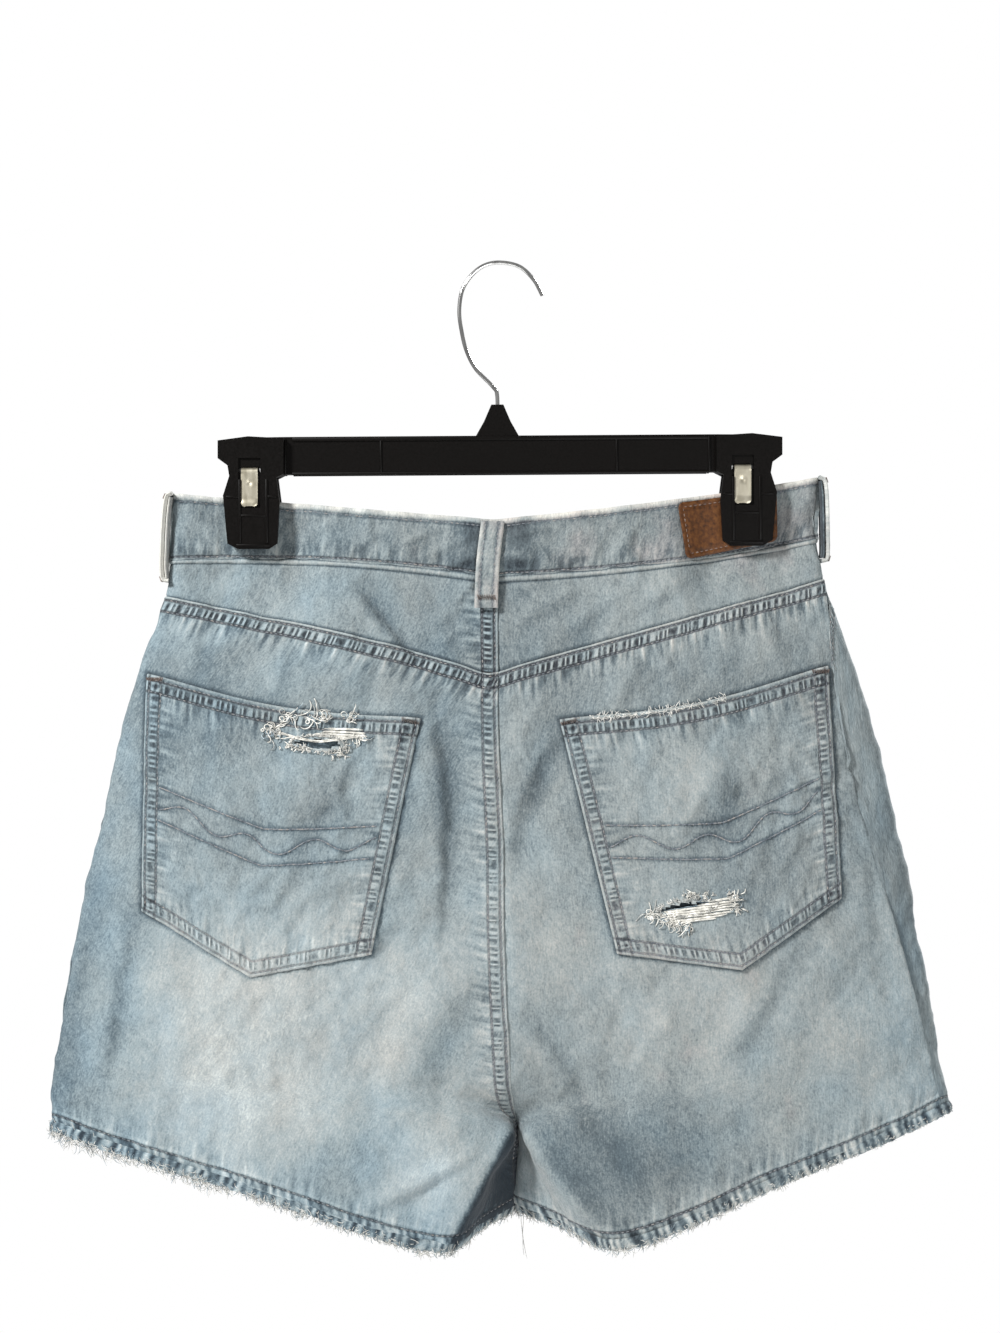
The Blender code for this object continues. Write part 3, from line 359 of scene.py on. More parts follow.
def surface_batch(half, w, t):
    """Points of one half at places that aren't below 0."""
    rows = through(HALVES[half], t)
    legs = t > CROTCH
    inseam = 0.5 * (rows[legs, 1] + rows[legs, -2])
    rows[legs, 1] = rows[legs, -2] = inseam
    knots, slopes = spline_slopes(rows)
    rows = rows[:, 1:-1]
    each = np.arange(len(w))
    spans = rows.shape[1] - 1
    fine = np.linspace(0, spans, spans * STEPS + 1)
    lines = np.stack([along_row(rows, knots, slopes, each, np.full(len(w), at)) for at in fine], axis=1)
    steps = np.linalg.norm(np.diff(lines, axis=1), axis=2)
    covered = np.concatenate([np.zeros((len(w), 1)), np.cumsum(steps, axis=1)], axis=1)
    side = covered[:, SIDE_INDEX * STEPS]
    total = covered[:, -1]
    target = np.where(w <= 1, w * side, side + (w - 1) * (total - side))
    index = np.clip((covered < target[:, None]).sum(axis=1) - 1, 0, len(fine) - 2)
    start, end = covered[each, index], covered[each, index + 1]
    points = along_row(rows, knots, slopes, each, fine[index] + (target - start) / (end - start) / STEPS)
    x, y, z = points.T
    # Folds fade out at the side and, below the rise, at the inseam.
    thigh = 1 - (1 - ease(w, 0.02, 0.15)) * ease(t, RISE, CROTCH)
    back = np.clip((1 - w) * SIDE_FADE, 0, 1) * thigh
    front = np.clip((w - 1) * SIDE_FADE, 0, 1)
    y = y + back * folded(x, z, "back", FOLDS) - front * folded(x, z, "front", FOLDS)
    pinch = (1 - ease(np.abs(np.abs(x) - CLIP_X), *PINCH_X)) * ease(z, PINCH_Z[1], PINCH_Z[0])
    points[:, 1] = mix(y, np.where(w <= 1, -PINCH_Y, PINCH_Y), pinch)
    return points


def surface(half, w, t):
    """Points of one half of the garment. Below 0, w runs on over the seat seam on to the other half."""
    w, t = np.broadcast_arrays(np.asarray(w, float), np.asarray(t, float))
    shape = w.shape
    w, t = w.ravel(), t.ravel()
    points = np.empty((len(w), 3))
    for owner, chosen in ((half, w >= 0), (OPPOSITE[half], w < 0)):
        places = np.flatnonzero(chosen)
        for start in range(0, len(places), BATCH):
            some = places[start:start + BATCH]
            points[some] = surface_batch(owner, np.abs(w[some]), t[some])
    return points.reshape(shape + (3,))


def side_seam(half, t):
    """The w of the side seam at the heights t."""
    return through(np.array(SIDE_SEAM[half], float), np.asarray(t, float))


def locate(half, x, z):
    """The back's w and t at a place seen from behind, by Newton's method from the nearest of a few."""
    guesses_w, guesses_t = np.meshgrid(np.linspace(0, 1, 21), np.linspace(0, HEM, 41))
    guesses = surface(half, guesses_w, guesses_t).reshape(-1, 3)
    shape = x.shape
    x, z = x.ravel(), z.ravel()
    far = (guesses[:, 0] - x[:, None]) ** 2 + (guesses[:, 2] - z[:, None]) ** 2
    nearest = far.argmin(axis=1)
    w, t = guesses_w.ravel()[nearest], guesses_t.ravel()[nearest]
    step = 1e-4
    for _ in range(6):
        here = surface(half, w, t)
        by_w = (surface(half, w + step, t) - here) / step
        by_t = (surface(half, w, t + step) - here) / step
        dx, dz = x - here[:, 0], z - here[:, 2]
        det = by_w[:, 0] * by_t[:, 2] - by_t[:, 0] * by_w[:, 2]
        w = np.clip(w + (dx * by_t[:, 2] - dz * by_t[:, 0]) / det, 0, 1)
        t = np.clip(t + (by_w[:, 0] * dz - by_w[:, 2] * dx) / det, 0, HEM)
    return w.reshape(shape), t.reshape(shape)


# ---------------------------------------------------------------- colours and nodes

def linear(code):
    """An sRGB hex colour as linear red, green and blue."""
    parts = [int(code[k:k + 2], 16) / 255 for k in (1, 3, 5)]
    return tuple(c / 12.92 if c <= 0.04045 else ((c + 0.055) / 1.055) ** 2.4 for c in parts)


def add(tree, kind, inputs=(), **settings):
    """A shader node with its settings, and its sockets linked or set."""
    node = tree.nodes.new(kind)
    for name, value in settings.items():
        setattr(node, name, value)
    for socket, value in dict(inputs).items():
        if isinstance(value, bpy.types.NodeSocket):
            tree.links.new(value, node.inputs[socket])
        else:
            node.inputs[socket].default_value = value
    return node


def new_material(name, shader_inputs):
    """A material with one principled shader, and its node tree."""
    made = bpy.data.materials.new(name)
    made.use_nodes = True
    tree = made.node_tree
    shader = tree.nodes["Principled BSDF"]
    for socket, value in shader_inputs.items():
        shader.inputs[socket].default_value = value
    return made, tree, shader


def paint(ramp, stops):
    """Colour stops on a ramp node: a place, and a hex code or a linear colour."""
    elements = ramp.color_ramp.elements
    while len(elements) < len(stops):
        elements.new(0.5)
    for element, (place, code) in zip(elements, stops):
        element.position = place
        element.color = (*(linear(code) if isinstance(code, str) else code), 1)


# How a seam shows on the denim, in mm. A seam that reaches past DOUBLE has an inner row of stitching too.
BAR_PITCH = 3.6
OUTER_ROW = 1.1
ROW_GAP = 6.7
DOUBLE = 8.0
DRAG_REACH = 15.0


def denim(look):
    """Washed cotton denim. The eye reads a pale, greyed blue that is never even: indigo left in the furrows beside
    each seam, darker still along the stitch rows as painted shade, white weft where folds rubbed, upright slubs and a
    fine speckle of crossing threads.
    Real twill ridges are 0.6 mm apart, too fine to show, so the speckle here is about 1.2 mm."""
    name = "washed cotton denim"
    if name in bpy.data.materials:
        return bpy.data.materials[name]
    made, tree, shader = new_material(name, {"Roughness": 0.92, "Sheen Weight": 0.12, "Sheen Roughness": 0.5,
                                             "Specular IOR Level": 0.2})

    def maths(operation, *values):
        return add(tree, "ShaderNodeMath", dict(enumerate(values)), operation=operation).outputs[0]

    def ranged(value, start, end, low=0.0, high=1.0, kind="LINEAR"):
        return add(tree, "ShaderNodeMapRange", {"Value": value, "From Min": start, "From Max": end, "To Min": low,
                                                "To Max": high}, interpolation_type=kind).outputs[0]

    def mapped(vector, **settings):
        return add(tree, "ShaderNodeMapping", {"Vector": vector, **settings}).outputs[0]

    def noise(vector, detail, scale=1.0, distortion=0.0):
        return add(tree, "ShaderNodeTexNoise", {"Vector": vector, "Scale": scale, "Detail": detail,
                                                "Distortion": distortion}).outputs["Fac"]

    def attribute(key, output="Fac"):
        return add(tree, "ShaderNodeAttribute", attribute_name=key).outputs[output]

    uv = add(tree, "ShaderNodeUVMap", uv_map="UVMap").outputs["UV"]
    # The tone per point carries painted light and shade as well as the cloth's washing and rubbing.
    tone, relief, warm = attribute("fade"), 0.0, 0.0
    # Patterns as (share of tone, share of relief, size across and down in mm, turn, detail).
    for share, depth, size, turn, detail in (
            (0.15, 0.12, (1.0, 1.3), 0.5, 2), (0.10, 0.26, (0.9, 4.5), 0.22, 1), (0.08, 0.60, (2.6, 4.4), -0.5, 2),
            (0.04, 0.5, (7, 11), 0.6, 2), (0.10, 0.0, (26, 34), 0.3, 2)):
        turned = mapped(uv, Rotation=(0, 0, turn))
        grain = noise(mapped(turned, Scale=(1000 / size[0], 1000 / size[1], 1)), detail, distortion=0.4)
        centred = maths("SUBTRACT", grain, 0.5)
        tone = maths("MULTIPLY_ADD", centred, 2.6 * share, tone)
        relief = maths("MULTIPLY_ADD", centred, depth, relief)
    for edge in ("a", "b"):
        # Along the seam, in from its edge, and how far in it reaches.
        along, inward, reach = add(tree, "ShaderNodeSeparateXYZ", {0: attribute("seam_" + edge, "Vector")}).outputs
        plane = add(tree, "ShaderNodeCombineXYZ", {0: along, 1: inward}).outputs[0]
        strength = attribute("ladder_" + edge)
        past = maths("SUBTRACT", inward, reach)
        # Bars across the seam, unevenly apart, slanted and patchy.
        sway = add(tree, "ShaderNodeTexNoise", {"W": along, "Scale": 0.13, "Detail": 1.0},
                   noise_dimensions="1D").outputs["Fac"]
        slanted = maths("MULTIPLY_ADD", inward, 0.10, maths("MULTIPLY_ADD", sway, 6.0, along))
        wave = maths("SINE", maths("MULTIPLY", slanted, 2 * math.pi / BAR_PITCH))
        patchy = ranged(noise(plane, 2.0, 0.28), 0.32, 0.62, 0.15, 1.1)
        bars = maths("MULTIPLY", ranged(wave, -0.9, 0.9, -1.2, 0.6, "SMOOTHSTEP"), patchy)
        outer = maths("SUBTRACT", reach, OUTER_ROW)
        double = maths("GREATER_THAN", reach, DOUBLE)
        inner = maths("MULTIPLY_ADD", double, -ROW_GAP, outer)
        # They stay between the two rows, thickest against the inner one.
        centre = maths("MULTIPLY_ADD", double, -2.9, outer)
        off = maths("MULTIPLY_ADD", double, -2.2, maths("ABSOLUTE", maths("SUBTRACT", inward, centre)))
        bars = maths("MULTIPLY", bars, ranged(off, 1.3, -1.2, high=strength, kind="SMOOTHSTEP"))
        # The stitch rows are darkened in colour, partly indigo kept there and partly painted shade of their furrows.
        rows = 0.0
        for middle in (inner, outer):
            off = maths("ABSOLUTE", maths("SUBTRACT", inward, middle))
            rows = maths("MAXIMUM", ranged(off, 1.25, 0.2, high=strength, kind="SMOOTHSTEP"), rows)
        fold = ranged(inward, 1.1, 0.5, high=strength)
        # Streaks of drag run out of the seam into the cloth beyond it.
        streaks = maths("SUBTRACT", noise(mapped(plane, Scale=(0.30, 0.05, 1)), 1.0), 0.5)
        streaks = maths("MULTIPLY", streaks, ranged(past, DRAG_REACH, 0.5, high=strength))
        streaks = maths("MULTIPLY", streaks, ranged(past, -1.5, 0.5))
        for source, share, depth in ((bars, 0.28, 0.55), (rows, -0.25, -0.45), (fold, 0.14, 0.0),
                                     (streaks, 0.95, 1.5)):
            tone = maths("MULTIPLY_ADD", source, share, tone)
            relief = maths("MULTIPLY_ADD", source, depth, relief)
        for source, share in ((rows, -0.45), (bars, 0.22)):
            warm = maths("MULTIPLY_ADD", source, share, warm)
    colour = add(tree, "ShaderNodeValToRGB", {0: tone})
    paint(colour, ((0.0, look.indigo[:]), (0.3, look.dark_blue[:]), (0.54, look.mid_blue[:]),
                   (0.76, look.pale_blue[:]), (1.0, look.weft[:])))
    # From the warm grey of the seams to a clear blue, over broad soft patches.
    broad = noise(mapped(uv, Scale=(1000 / 30, 1000 / 44, 1)), 3.0)
    hue = maths("ADD", maths("MULTIPLY_ADD", attribute("hue"), 0.36, broad), warm)
    tint = add(tree, "ShaderNodeValToRGB", {0: hue})
    paint(tint, ((0.0, (1.12, 0.93, 0.86)), (0.15, (1.0, 0.93, 0.87)), (0.28, (0.975, 0.925, 0.88)),
                 (0.52, (0.93, 0.94, 0.93)), (0.9, (0.83, 0.94, 1.01))))
    tinted = add(tree, "ShaderNodeVectorMath", {0: colour.outputs[0], 1: tint.outputs[0]}, operation="MULTIPLY")
    tree.links.new(tinted.outputs[0], shader.inputs["Base Color"])
    height = add(tree, "ShaderNodeBump", {"Height": relief, "Strength": 0.7, "Distance": 1.1 * MM})
    tree.links.new(height.outputs[0], shader.inputs["Normal"])
    return made


def surfaced(name, shader_inputs, codes, size, detail, depth=None, roughness=None, spread=(0.3, 0.7)):
    """A finish whose noise, of the given size in mm, sets its colour over the spread, its roughness and its
    relief, where those are given."""
    if name in bpy.data.materials:
        return bpy.data.materials[name]
    made, tree, shader = new_material(name, shader_inputs)
    here = add(tree, "ShaderNodeTexCoord").outputs["Object"]
    scaled = add(tree, "ShaderNodeMapping", {"Vector": here, "Scale": tuple(1000 / s for s in size)})
    grain = add(tree, "ShaderNodeTexNoise", {"Vector": scaled.outputs[0], "Scale": 1.0, "Detail": detail})
    colour = add(tree, "ShaderNodeValToRGB", {0: grain.outputs["Fac"]})
    paint(colour, tuple(zip(np.linspace(*spread, len(codes)).tolist(), codes)))
    tree.links.new(colour.outputs[0], shader.inputs["Base Color"])
    if roughness:
        dull = add(tree, "ShaderNodeMapRange", {"Value": grain.outputs["Fac"], "From Min": 0.3, "From Max": 0.7,
                                                "To Min": roughness[0], "To Max": roughness[1]})
        tree.links.new(dull.outputs[0], shader.inputs["Roughness"])
    if depth is not None:
        height = add(tree, "ShaderNodeBump", {"Height": grain.outputs["Fac"], "Strength": 0.5, "Distance": depth * MM})
        tree.links.new(height.outputs[0], shader.inputs["Normal"])
    return made


def thread(name, codes, size=2.2):
    """Spun cotton thread: a soft line of colour that comes and goes along its length where the wash took it."""
    return surfaced(name, {"Roughness": 0.85, "Sheen Weight": 0.2, "Specular IOR Level": 0.25}, codes, (size,) * 3,
                    2.0, spread=(0.32, 0.68))


def slate_thread():
    """The seams' thread, once blue-grey and now faded almost to the cloth's own tone."""
    return thread("slate cotton topstitch thread", ("#4b525a", "#6a6f74", "#8b8580"))


def rust_thread():
    """The bartacks' thread, a dull brown, the only warm accent on the cloth."""
    return thread("rust cotton bartack thread", ("#53423a", "#6c5a50", "#82756d"))


def raw_thread():
    """Unspun weft ends, almost white with a little dust."""
    return thread("raw cotton weft threads", ("#a9a7a0", "#cac8c0", "#e6e4dd"), size=3)


def shaded_thread():
    """The same ends painted greyer: a shaded copy of the raw weft, whose grey stands in for the shade among the massed
    ends at the hems and the rips.
    """
    return thread("dusty cotton fray", ("#8e8f8c", "#b3b3ae", "#d3d1cb"), size=3)


def blue_thread():
    """Warp ends still blue, darker than the white ones they hang among."""
    return thread("raw indigo warp threads", ("#3d4c55", "#6b7b84", "#a5b0b3"), size=4)


def abs_plastic():
    """Moulded ABS: near black, a satin skin with a faint tool grain that softens every highlight."""
    return surfaced("moulded black ABS", {"Specular IOR Level": 0.13, "IOR": 1.5},
                    ("#030201", "#050302"), (0.9, 0.9, 0.9), 3.0, 0.03, (0.36, 0.48))


def spring_steel():
    """Bright plate with a faint warm cast and soft, broad highlights."""
    return surfaced("nickel-plated spring steel", {"Metallic": 0.9}, ("#b8b19c", "#c6c0ae"), (3, 3, 9), 1.0, 0.0,
                    (0.34, 0.42))


def hook_wire():
    """Polished wire: hard, narrow highlights along its bends."""
    return surfaced("chrome-plated wire", {"Metallic": 1.0}, ("#c9c9c8", "#e2e2e0"), (2, 2, 12), 1.0, 0.01,
                    (0.12, 0.2))


def leather():
    """Vegetable-tanned leather, waxed: warm brown, paler on its raised grain."""
    return surfaced("waxed brown leather", {"Specular IOR Level": 0.25}, ("#2f1b09", "#4a2a0f", "#5b3817"),
                    (2.2, 2.2, 2.2), 4.0, 0.25, (0.45, 0.62))


def brass():
    """Dulled brass, darker in its hollows."""
    return surfaced("antiqued brass", {"Metallic": 1.0}, ("#6e5c40", "#a38d66"), (3, 3, 3), 3.0, 0.06, (0.3, 0.5))


# ---------------------------------------------------------------- cloth grids

# Seams: rows of stitching and how far the seam reaches, in mm from its edge, how much it thickens the cloth,
# how strongly its bars show, how it drags on the cloth beyond it and how far its edge rolls over.
Seam = namedtuple("Seam", "rows reach thick ladder drag fold")
YOKE_SEAM = Seam((1.7, 8.3), 9.4, 0.8, 1.45, 0.9, 0.5)
SEAT_SEAM = Seam((1.3, 8.4), 9.5, 0.7, 0.9, 0.35, 0.5)
YOKE_SEAT_SEAM = Seam((1.3, 8.4), 9.5, 0.7, 1.3, 1.0, 0.5)
HEM_SEAM = Seam((4.7,), 5.8, 0.5, 0.8, 1.5, 0.0)
SIDE_EDGE = Seam((), 0.0, 0.0, 0.0, 0.25, 0.3)
WAIST_TOP = Seam((3.5,), 3.5, 0.0, 0.35, 0.25, 0.5)
WAIST_LOW = Seam((1.5,), 2.8, 0.1, 0.8, 1.3, 0.5)
POCKET_SIDE = Seam((1.7, 8.6), 9.6, 0.35, 0.85, 0.30, 0.9)
POCKET_TOP = Seam((2.2, 9.4), 10.5, 0.5, 1.1, 0.40, 0.9)
SCOOP_SEAM = Seam((1.7, 7.9), 9.0, 0.4, 0.8, 0.35, 0.6)
FLY_SEAM = Seam((1.7, 7.9), 9.0, 0.4, 0.6, 0.30, 0.6)
LOOP_EDGE = Seam((2.4,), 2.8, 0.0, 0.25, 0.05, 0.5)
PATCH_EDGE = Seam((2.4,), 0.0, 0.0, 0.0, 0.0, 0.35)

# Paler and bluer places: centre, reach and amount, over the cloth's own tone. They are partly the cloth's washing and
# rubbing and partly painted light and shade, set to the tones of lit and shaded places, such as the painted shadow
# beside the centre loop.
WearAndShade = namedtuple("WearAndShade", "face x z reach_x reach_z amount")
BASE_FADE = 0.52
WEAR_AND_SHADE = by_face(WearAndShade, back=(
    (-140, -455, 70, 60, 0.26), (-120, -395, 80, 30, 0.10), (120, -430, 70, 55, 0.10), (-120, -365, 70, 28, 0.04),
    (-30, -300, 26, 70, -0.10), (-40, -440, 36, 60, 0.06), (30, -290, 22, 60, -0.08), (130, -243, 56, 20, -0.08),
    (150, -345, 44, 44, -0.10), (-165, -250, 40, 34, -0.14), (-120, -330, 60, 60, -0.06), (-120, -210, 60, 24, 0.02),
    (110, -196, 60, 22, 0.07), (0, -205, 40, 28, -0.06), (-245, -420, 30, 90, -0.19), (240, -420, 40, 80, 0.10),
    # Painted shade to the right of the right leg's fold crest: the spot at x 66, z -504.
    (-88, -506, 44, 26, -0.10), (66, -504, 54, 38, -0.16), (110, -480, 70, 44, -0.06), (0, -350, 40, 60, 0.08),
    # Painted shadow beside the centre loop: the dark spots at x -18 to 12, z -151 to -171.
    (0, -200, 230, 55, -0.07), (-16, -151, 7, 11, -0.26), (12, -151, 7, 12, -0.24), (-18, -171, 10, 3, -0.22),
    (8, -170, 8, 3, -0.22), (-38, -512, 26, 24, 0.26), (-200, -300, 26, 60, -0.06), (-150, -155, 60, 18, -0.02),
), front=(
    (-110, -400, 55, 80, 0.30), (110, -400, 55, 80, 0.30), (0, -300, 60, 60, 0.05), (0, -460, 40, 50, -0.10),
    (-215, -380, 30, 90, -0.10), (215, -380, 30, 90, -0.10),
))


def rumple(u, v, seed):
    """Smooth unevenness from -1 to 1, one lump to a unit."""
    lattice = np.random.default_rng(seed).uniform(-1, 1, (64, 64))
    u, v = np.broadcast_arrays(u, v)
    i, j = np.floor(u).astype(int), np.floor(v).astype(int)
    f, g = ((at * at * (3 - 2 * at)) for at in (u - i, v - j))
    corner = [[lattice[(i + a) % 64, (j + b) % 64] for b in (0, 1)] for a in (0, 1)]
    return mix(mix(corner[0][0], corner[1][0], f), mix(corner[0][1], corner[1][1], f), g)


def marks(length, pitch):
    """Places along a length, in mm: close together at both ends, where an edge is round."""
    ends, round_edge = np.array([0, 0.4, 1.0, 1.8]), 2.8
    steps = max(2, round((length - 5.4) / pitch) + 1)
    return np.concatenate([ends, np.linspace(round_edge, length - round_edge, steps), length - ends[::-1]])


def shares(length, pitch):
    """The same places as parts of the length."""
    return marks(length, pitch) / length


def walked(line):
    """How far along a line each of its points lies."""
    return np.concatenate([[0], np.cumsum(np.linalg.norm(np.diff(line, axis=0), axis=1))])


def heights(half, w, start, end, pitch):
    """Values of t from start to end, evenly apart in mm along the line at w."""
    fine = np.linspace(start, end, 300)
    down = walked(surface(half, np.full(len(fine), w), fine))
    return np.interp(marks(down[-1], pitch), down, fine)


def unit(vectors):
    return vectors / np.maximum(np.linalg.norm(vectors, axis=-1, keepdims=True), 1e-9)


def grid_normals(points):
    return unit(np.cross(np.gradient(points, axis=0), np.gradient(points, axis=1)))


def grid_distances(points):
    """How far each point lies from the grid's top, bottom, left and right edges, along its lines."""
    down = np.linalg.norm(np.diff(points, axis=0), axis=2)
    over = np.linalg.norm(np.diff(points, axis=1), axis=2)
    top = np.concatenate([np.zeros((1, points.shape[1])), np.cumsum(down, axis=0)])
    left = np.concatenate([np.zeros((len(points), 1)), np.cumsum(over, axis=1)], axis=1)
    return {"top": top, "bottom": top[-1] - top, "left": left, "right": left[:, -1:] - left}


def seam_relief(seam, s, q, seed):
    """A seam's lift: a thick band with a round fold, furrows at its rows, puckers, and drag beyond it."""
    rolled = 1 - np.sqrt(1 - (1 - np.clip(q / 1.3, 0, 1)) ** 2)
    band = 1 - ease(q, seam.reach - 0.6, seam.reach + 1.0) if seam.reach else np.zeros_like(q)
    lift = seam.thick * band - seam.fold * rolled
    for row in seam.rows:
        lift -= 0.32 * bump(q, row, 0.8)
    lift += 0.26 * seam.ladder * band * rumple(s / 3.3, q / 16, seed)
    beyond = np.maximum(q - seam.reach, 0)
    fall = np.exp(-beyond / 12) * (1 - 0.7 * band)
    lift += seam.drag * fall * (0.6 * rumple(s / 6, q / 24 + s / 60, seed + 1)
                                + 0.5 * rumple(s / 15, q / 40, seed + 2))
    return lift


def crumpled(x, z, face, amount=1.0):
    """The soft unevenness of long-used cloth all over, the same where two pieces lap."""
    seed = 50 if face == "back" else 60
    soft = 1.5 * rumple(x / 44, z / 38, seed) + 0.8 * rumple(x / 19 + z / 40, z / 24 - x / 50, seed + 1)
    small = 0.34 * rumple(x / 7 + z / 15, z / 8 - x / 20, seed + 2) + 0.13 * rumple(
        x / 2.9 + z / 9, z / 3.4 - x / 12, seed + 3)
    # Sharper lines where the cloth once creased, some one way and some the other.
    creased = -1.5 * np.abs(rumple(x / 13 + z / 26, z / 30 - x / 17, seed + 4)) - 1.3 * np.abs(
        rumple(x / 15 - z / 20, z / 24 + x / 30, seed + 5)) - 0.7 * np.abs(
        rumple(x / 6 + z / 9, z / 9 - x / 11, seed + 6))
    patchy = 0.6 + 0.4 * rumple(x / 60, z / 60, seed + 7)
    return soft + amount * (small + patchy * creased)


def worn_and_shaded(points, face, base=BASE_FADE):
    """The tone of the cloth at its points, from indigo (0) to white weft (1): its washing and rubbing, with the
    painted light and shade of the spots' table and of the folds.
    """
    fade = np.full(points.shape[:2], float(base))
    for toned_spot in WEAR_AND_SHADE:
        if toned_spot.face == face:
            fade += toned_spot.amount * bump(points[..., 0], toned_spot.x, toned_spot.reach_x) * bump(
                points[..., 2], toned_spot.z, toned_spot.reach_z)
    # Painted shade along the folds, and their crests rubbed pale.
    return fade + rubbed(points[..., 0], points[..., 2], face)


Piece = namedtuple("Piece", "points normals distances seams")


def shaped(points, seams, seed, face="back", lift=0.0, crumple=1.0, creases=True):
    """A cloth grid raised into its relief, with what its sewing and its material need."""
    flat_normals = grid_normals(points)
    distances = grid_distances(points)
    height = np.zeros(points.shape[:2]) + lift
    for number, (edge, seam) in enumerate(seams.items()):
        s = distances["left" if edge in ("top", "bottom") else "top"]
        height += seam_relief(seam, s, distances[edge], seed + 10 * number)
    if creases:
        x, z = points[..., 0], points[..., 2]
        height += crumpled(x, z, face, crumple) + ridged(x, z, face) - folded(x, z, face, CREASES)
    moved = points + flat_normals * height[..., None]
    return Piece(moved, grid_normals(moved), distances, seams)


def seam_attribute(piece, edges):
    """Along, in from the edge, and how far the seam reaches, from the nearer of two edges, and its strength."""
    first, second = (piece.distances[edge] for edge in edges)
    s = piece.distances["left" if edges[0] == "top" else "top"]
    seams = [piece.seams.get(edge, SIDE_EDGE) for edge in edges]
    nearer = first <= second
    values = np.stack([s, np.minimum(first, second), np.where(nearer, *(seam.reach for seam in seams))], axis=-1)
    return values, np.where(nearer, *(seam.ladder for seam in seams))


def finish_piece(name, mesh, node, material):
    """An object of a mesh with its finish and its slot, which takes the place of node if there is one."""
    obj = bpy.data.objects.new(name, mesh)
    bpy.context.scene.collection.objects.link(obj)
    obj.data.materials.clear()
    obj.data.materials.append(material)
    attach(obj, "root")
    if node:
        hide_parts(node)
    return obj


def mesh_from(name, shape):
    """A mesh of a bmesh, which is freed."""
    mesh = bpy.data.meshes.new(name)
    shape.to_mesh(mesh)
    shape.free()
    return mesh


def grid_mesh(name, points):
    """A mesh of a grid of points in mm."""
    rows, columns = points.shape[:2]
    shape = bmesh.new()
    bmesh.ops.create_grid(shape, x_segments=columns - 1, y_segments=rows - 1, size=1)
    mesh = mesh_from(name, shape)
    mesh.vertices.foreach_set("co", (points * MM).astype(np.float32).ravel())
    return mesh


def put(mesh, name, kind, values):
    """A value for each point of a mesh, which its material reads."""
    key = "vector" if kind == "FLOAT_VECTOR" else "value"
    mesh.attributes.new(name, kind, "POINT").data.foreach_set(key, values.astype(np.float32).ravel())


def thickened(obj, thickness):
    """Gives a sheet its thickness in mm, half to each side, and leaves it sharp only where it turns hard."""
    wall = obj.modifiers.new("Thickness", "SOLIDIFY")
    wall.thickness = thickness * MM
    wall.offset = 0
    graph = bpy.context.evaluated_depsgraph_get()
    mesh = bpy.data.meshes.new_from_object(obj.evaluated_get(graph), preserve_all_data_layers=True, depsgraph=graph)
    obj.modifiers.clear()
    obj.data = mesh
    mesh.shade_smooth()
    mesh.set_sharp_from_angle(angle=math.radians(55))


LEAST_LENGTH = 0.0101     # no cut piece is stated shorter than this


def cloth(name, piece, thickness, material, fade, node=None, hole=None, rests_on="hanger_bar", anchor="left",
          slot_name="denim", hue=None):
    """A sheet of cloth from a shaped grid. Its weave is laid out from the edge that anchor names."""
    mesh = grid_mesh(name, piece.points)
    corners = np.empty(len(mesh.loops), np.int32)
    mesh.loops.foreach_get("vertex_index", corners)
    over = piece.distances[anchor] * (-1 if anchor == "right" else 1)
    flat = np.stack([over, -piece.distances["top"]], axis=-1).reshape(-1, 2) * MM
    mesh.uv_layers.new(name="UVMap").data.foreach_set("uv", flat[corners].astype(np.float32).ravel())
    # The tone per point, painted light and shade included.
    put(mesh, "fade", "FLOAT", fade)
    for key, edges in (("a", ("top", "bottom")), ("b", ("left", "right"))):
        values, ladder = seam_attribute(piece, edges)
        put(mesh, "seam_" + key, "FLOAT_VECTOR", values)
        put(mesh, "ladder_" + key, "FLOAT", ladder)
    # Bluer towards the sides and hems, where the wash reached least, and greyer at the right and the top.
    x, z = piece.points[..., 0], piece.points[..., 2]
    right = ease(x, -60, 60)
    cool = (0.75 * ease(np.abs(x), 150, 260) + (0.7 - 0.5 * right) * ease(-z, 440, 550) - 0.1 - 0.5 * right
            - 0.4 * ease(z, -190, -160)) if hue is None else hue + 0 * x
    put(mesh, "hue", "FLOAT", cool)
    mesh.update()
    if hole is not None:
        cut = bmesh.new()
        cut.from_mesh(mesh)
        cut.verts.ensure_lookup_table()
        inside = hole.ravel()
        gone = [face for face in cut.faces if all(inside[vert.index] for vert in face.verts)]
        bmesh.ops.delete(cut, geom=gone, context="FACES")
        cut.to_mesh(mesh)
        cut.free()
    obj = finish_piece(name, mesh, node, material)
    thickened(obj, thickness)
    cells = np.cross(np.diff(piece.points, axis=0)[:, :-1], np.diff(piece.points, axis=1)[:-1])
    area = np.linalg.norm(cells, axis=-1).sum() * MM ** 2
    if hole is not None:
        area *= len(mesh.polygons) / cells[..., 0].size
    # The cut's width and length. A narrow or tapering piece fills at least a part of that oblong.
    width = piece.distances["left"][:, -1].max() * MM
    length = max(min(piece.distances["top"][-1].max() * MM, area / (0.4 * width)), LEAST_LENGTH)
    area = max(area, 0.31 * width * length)
    return obj


# ---------------------------------------------------------------- sewing and loose threads

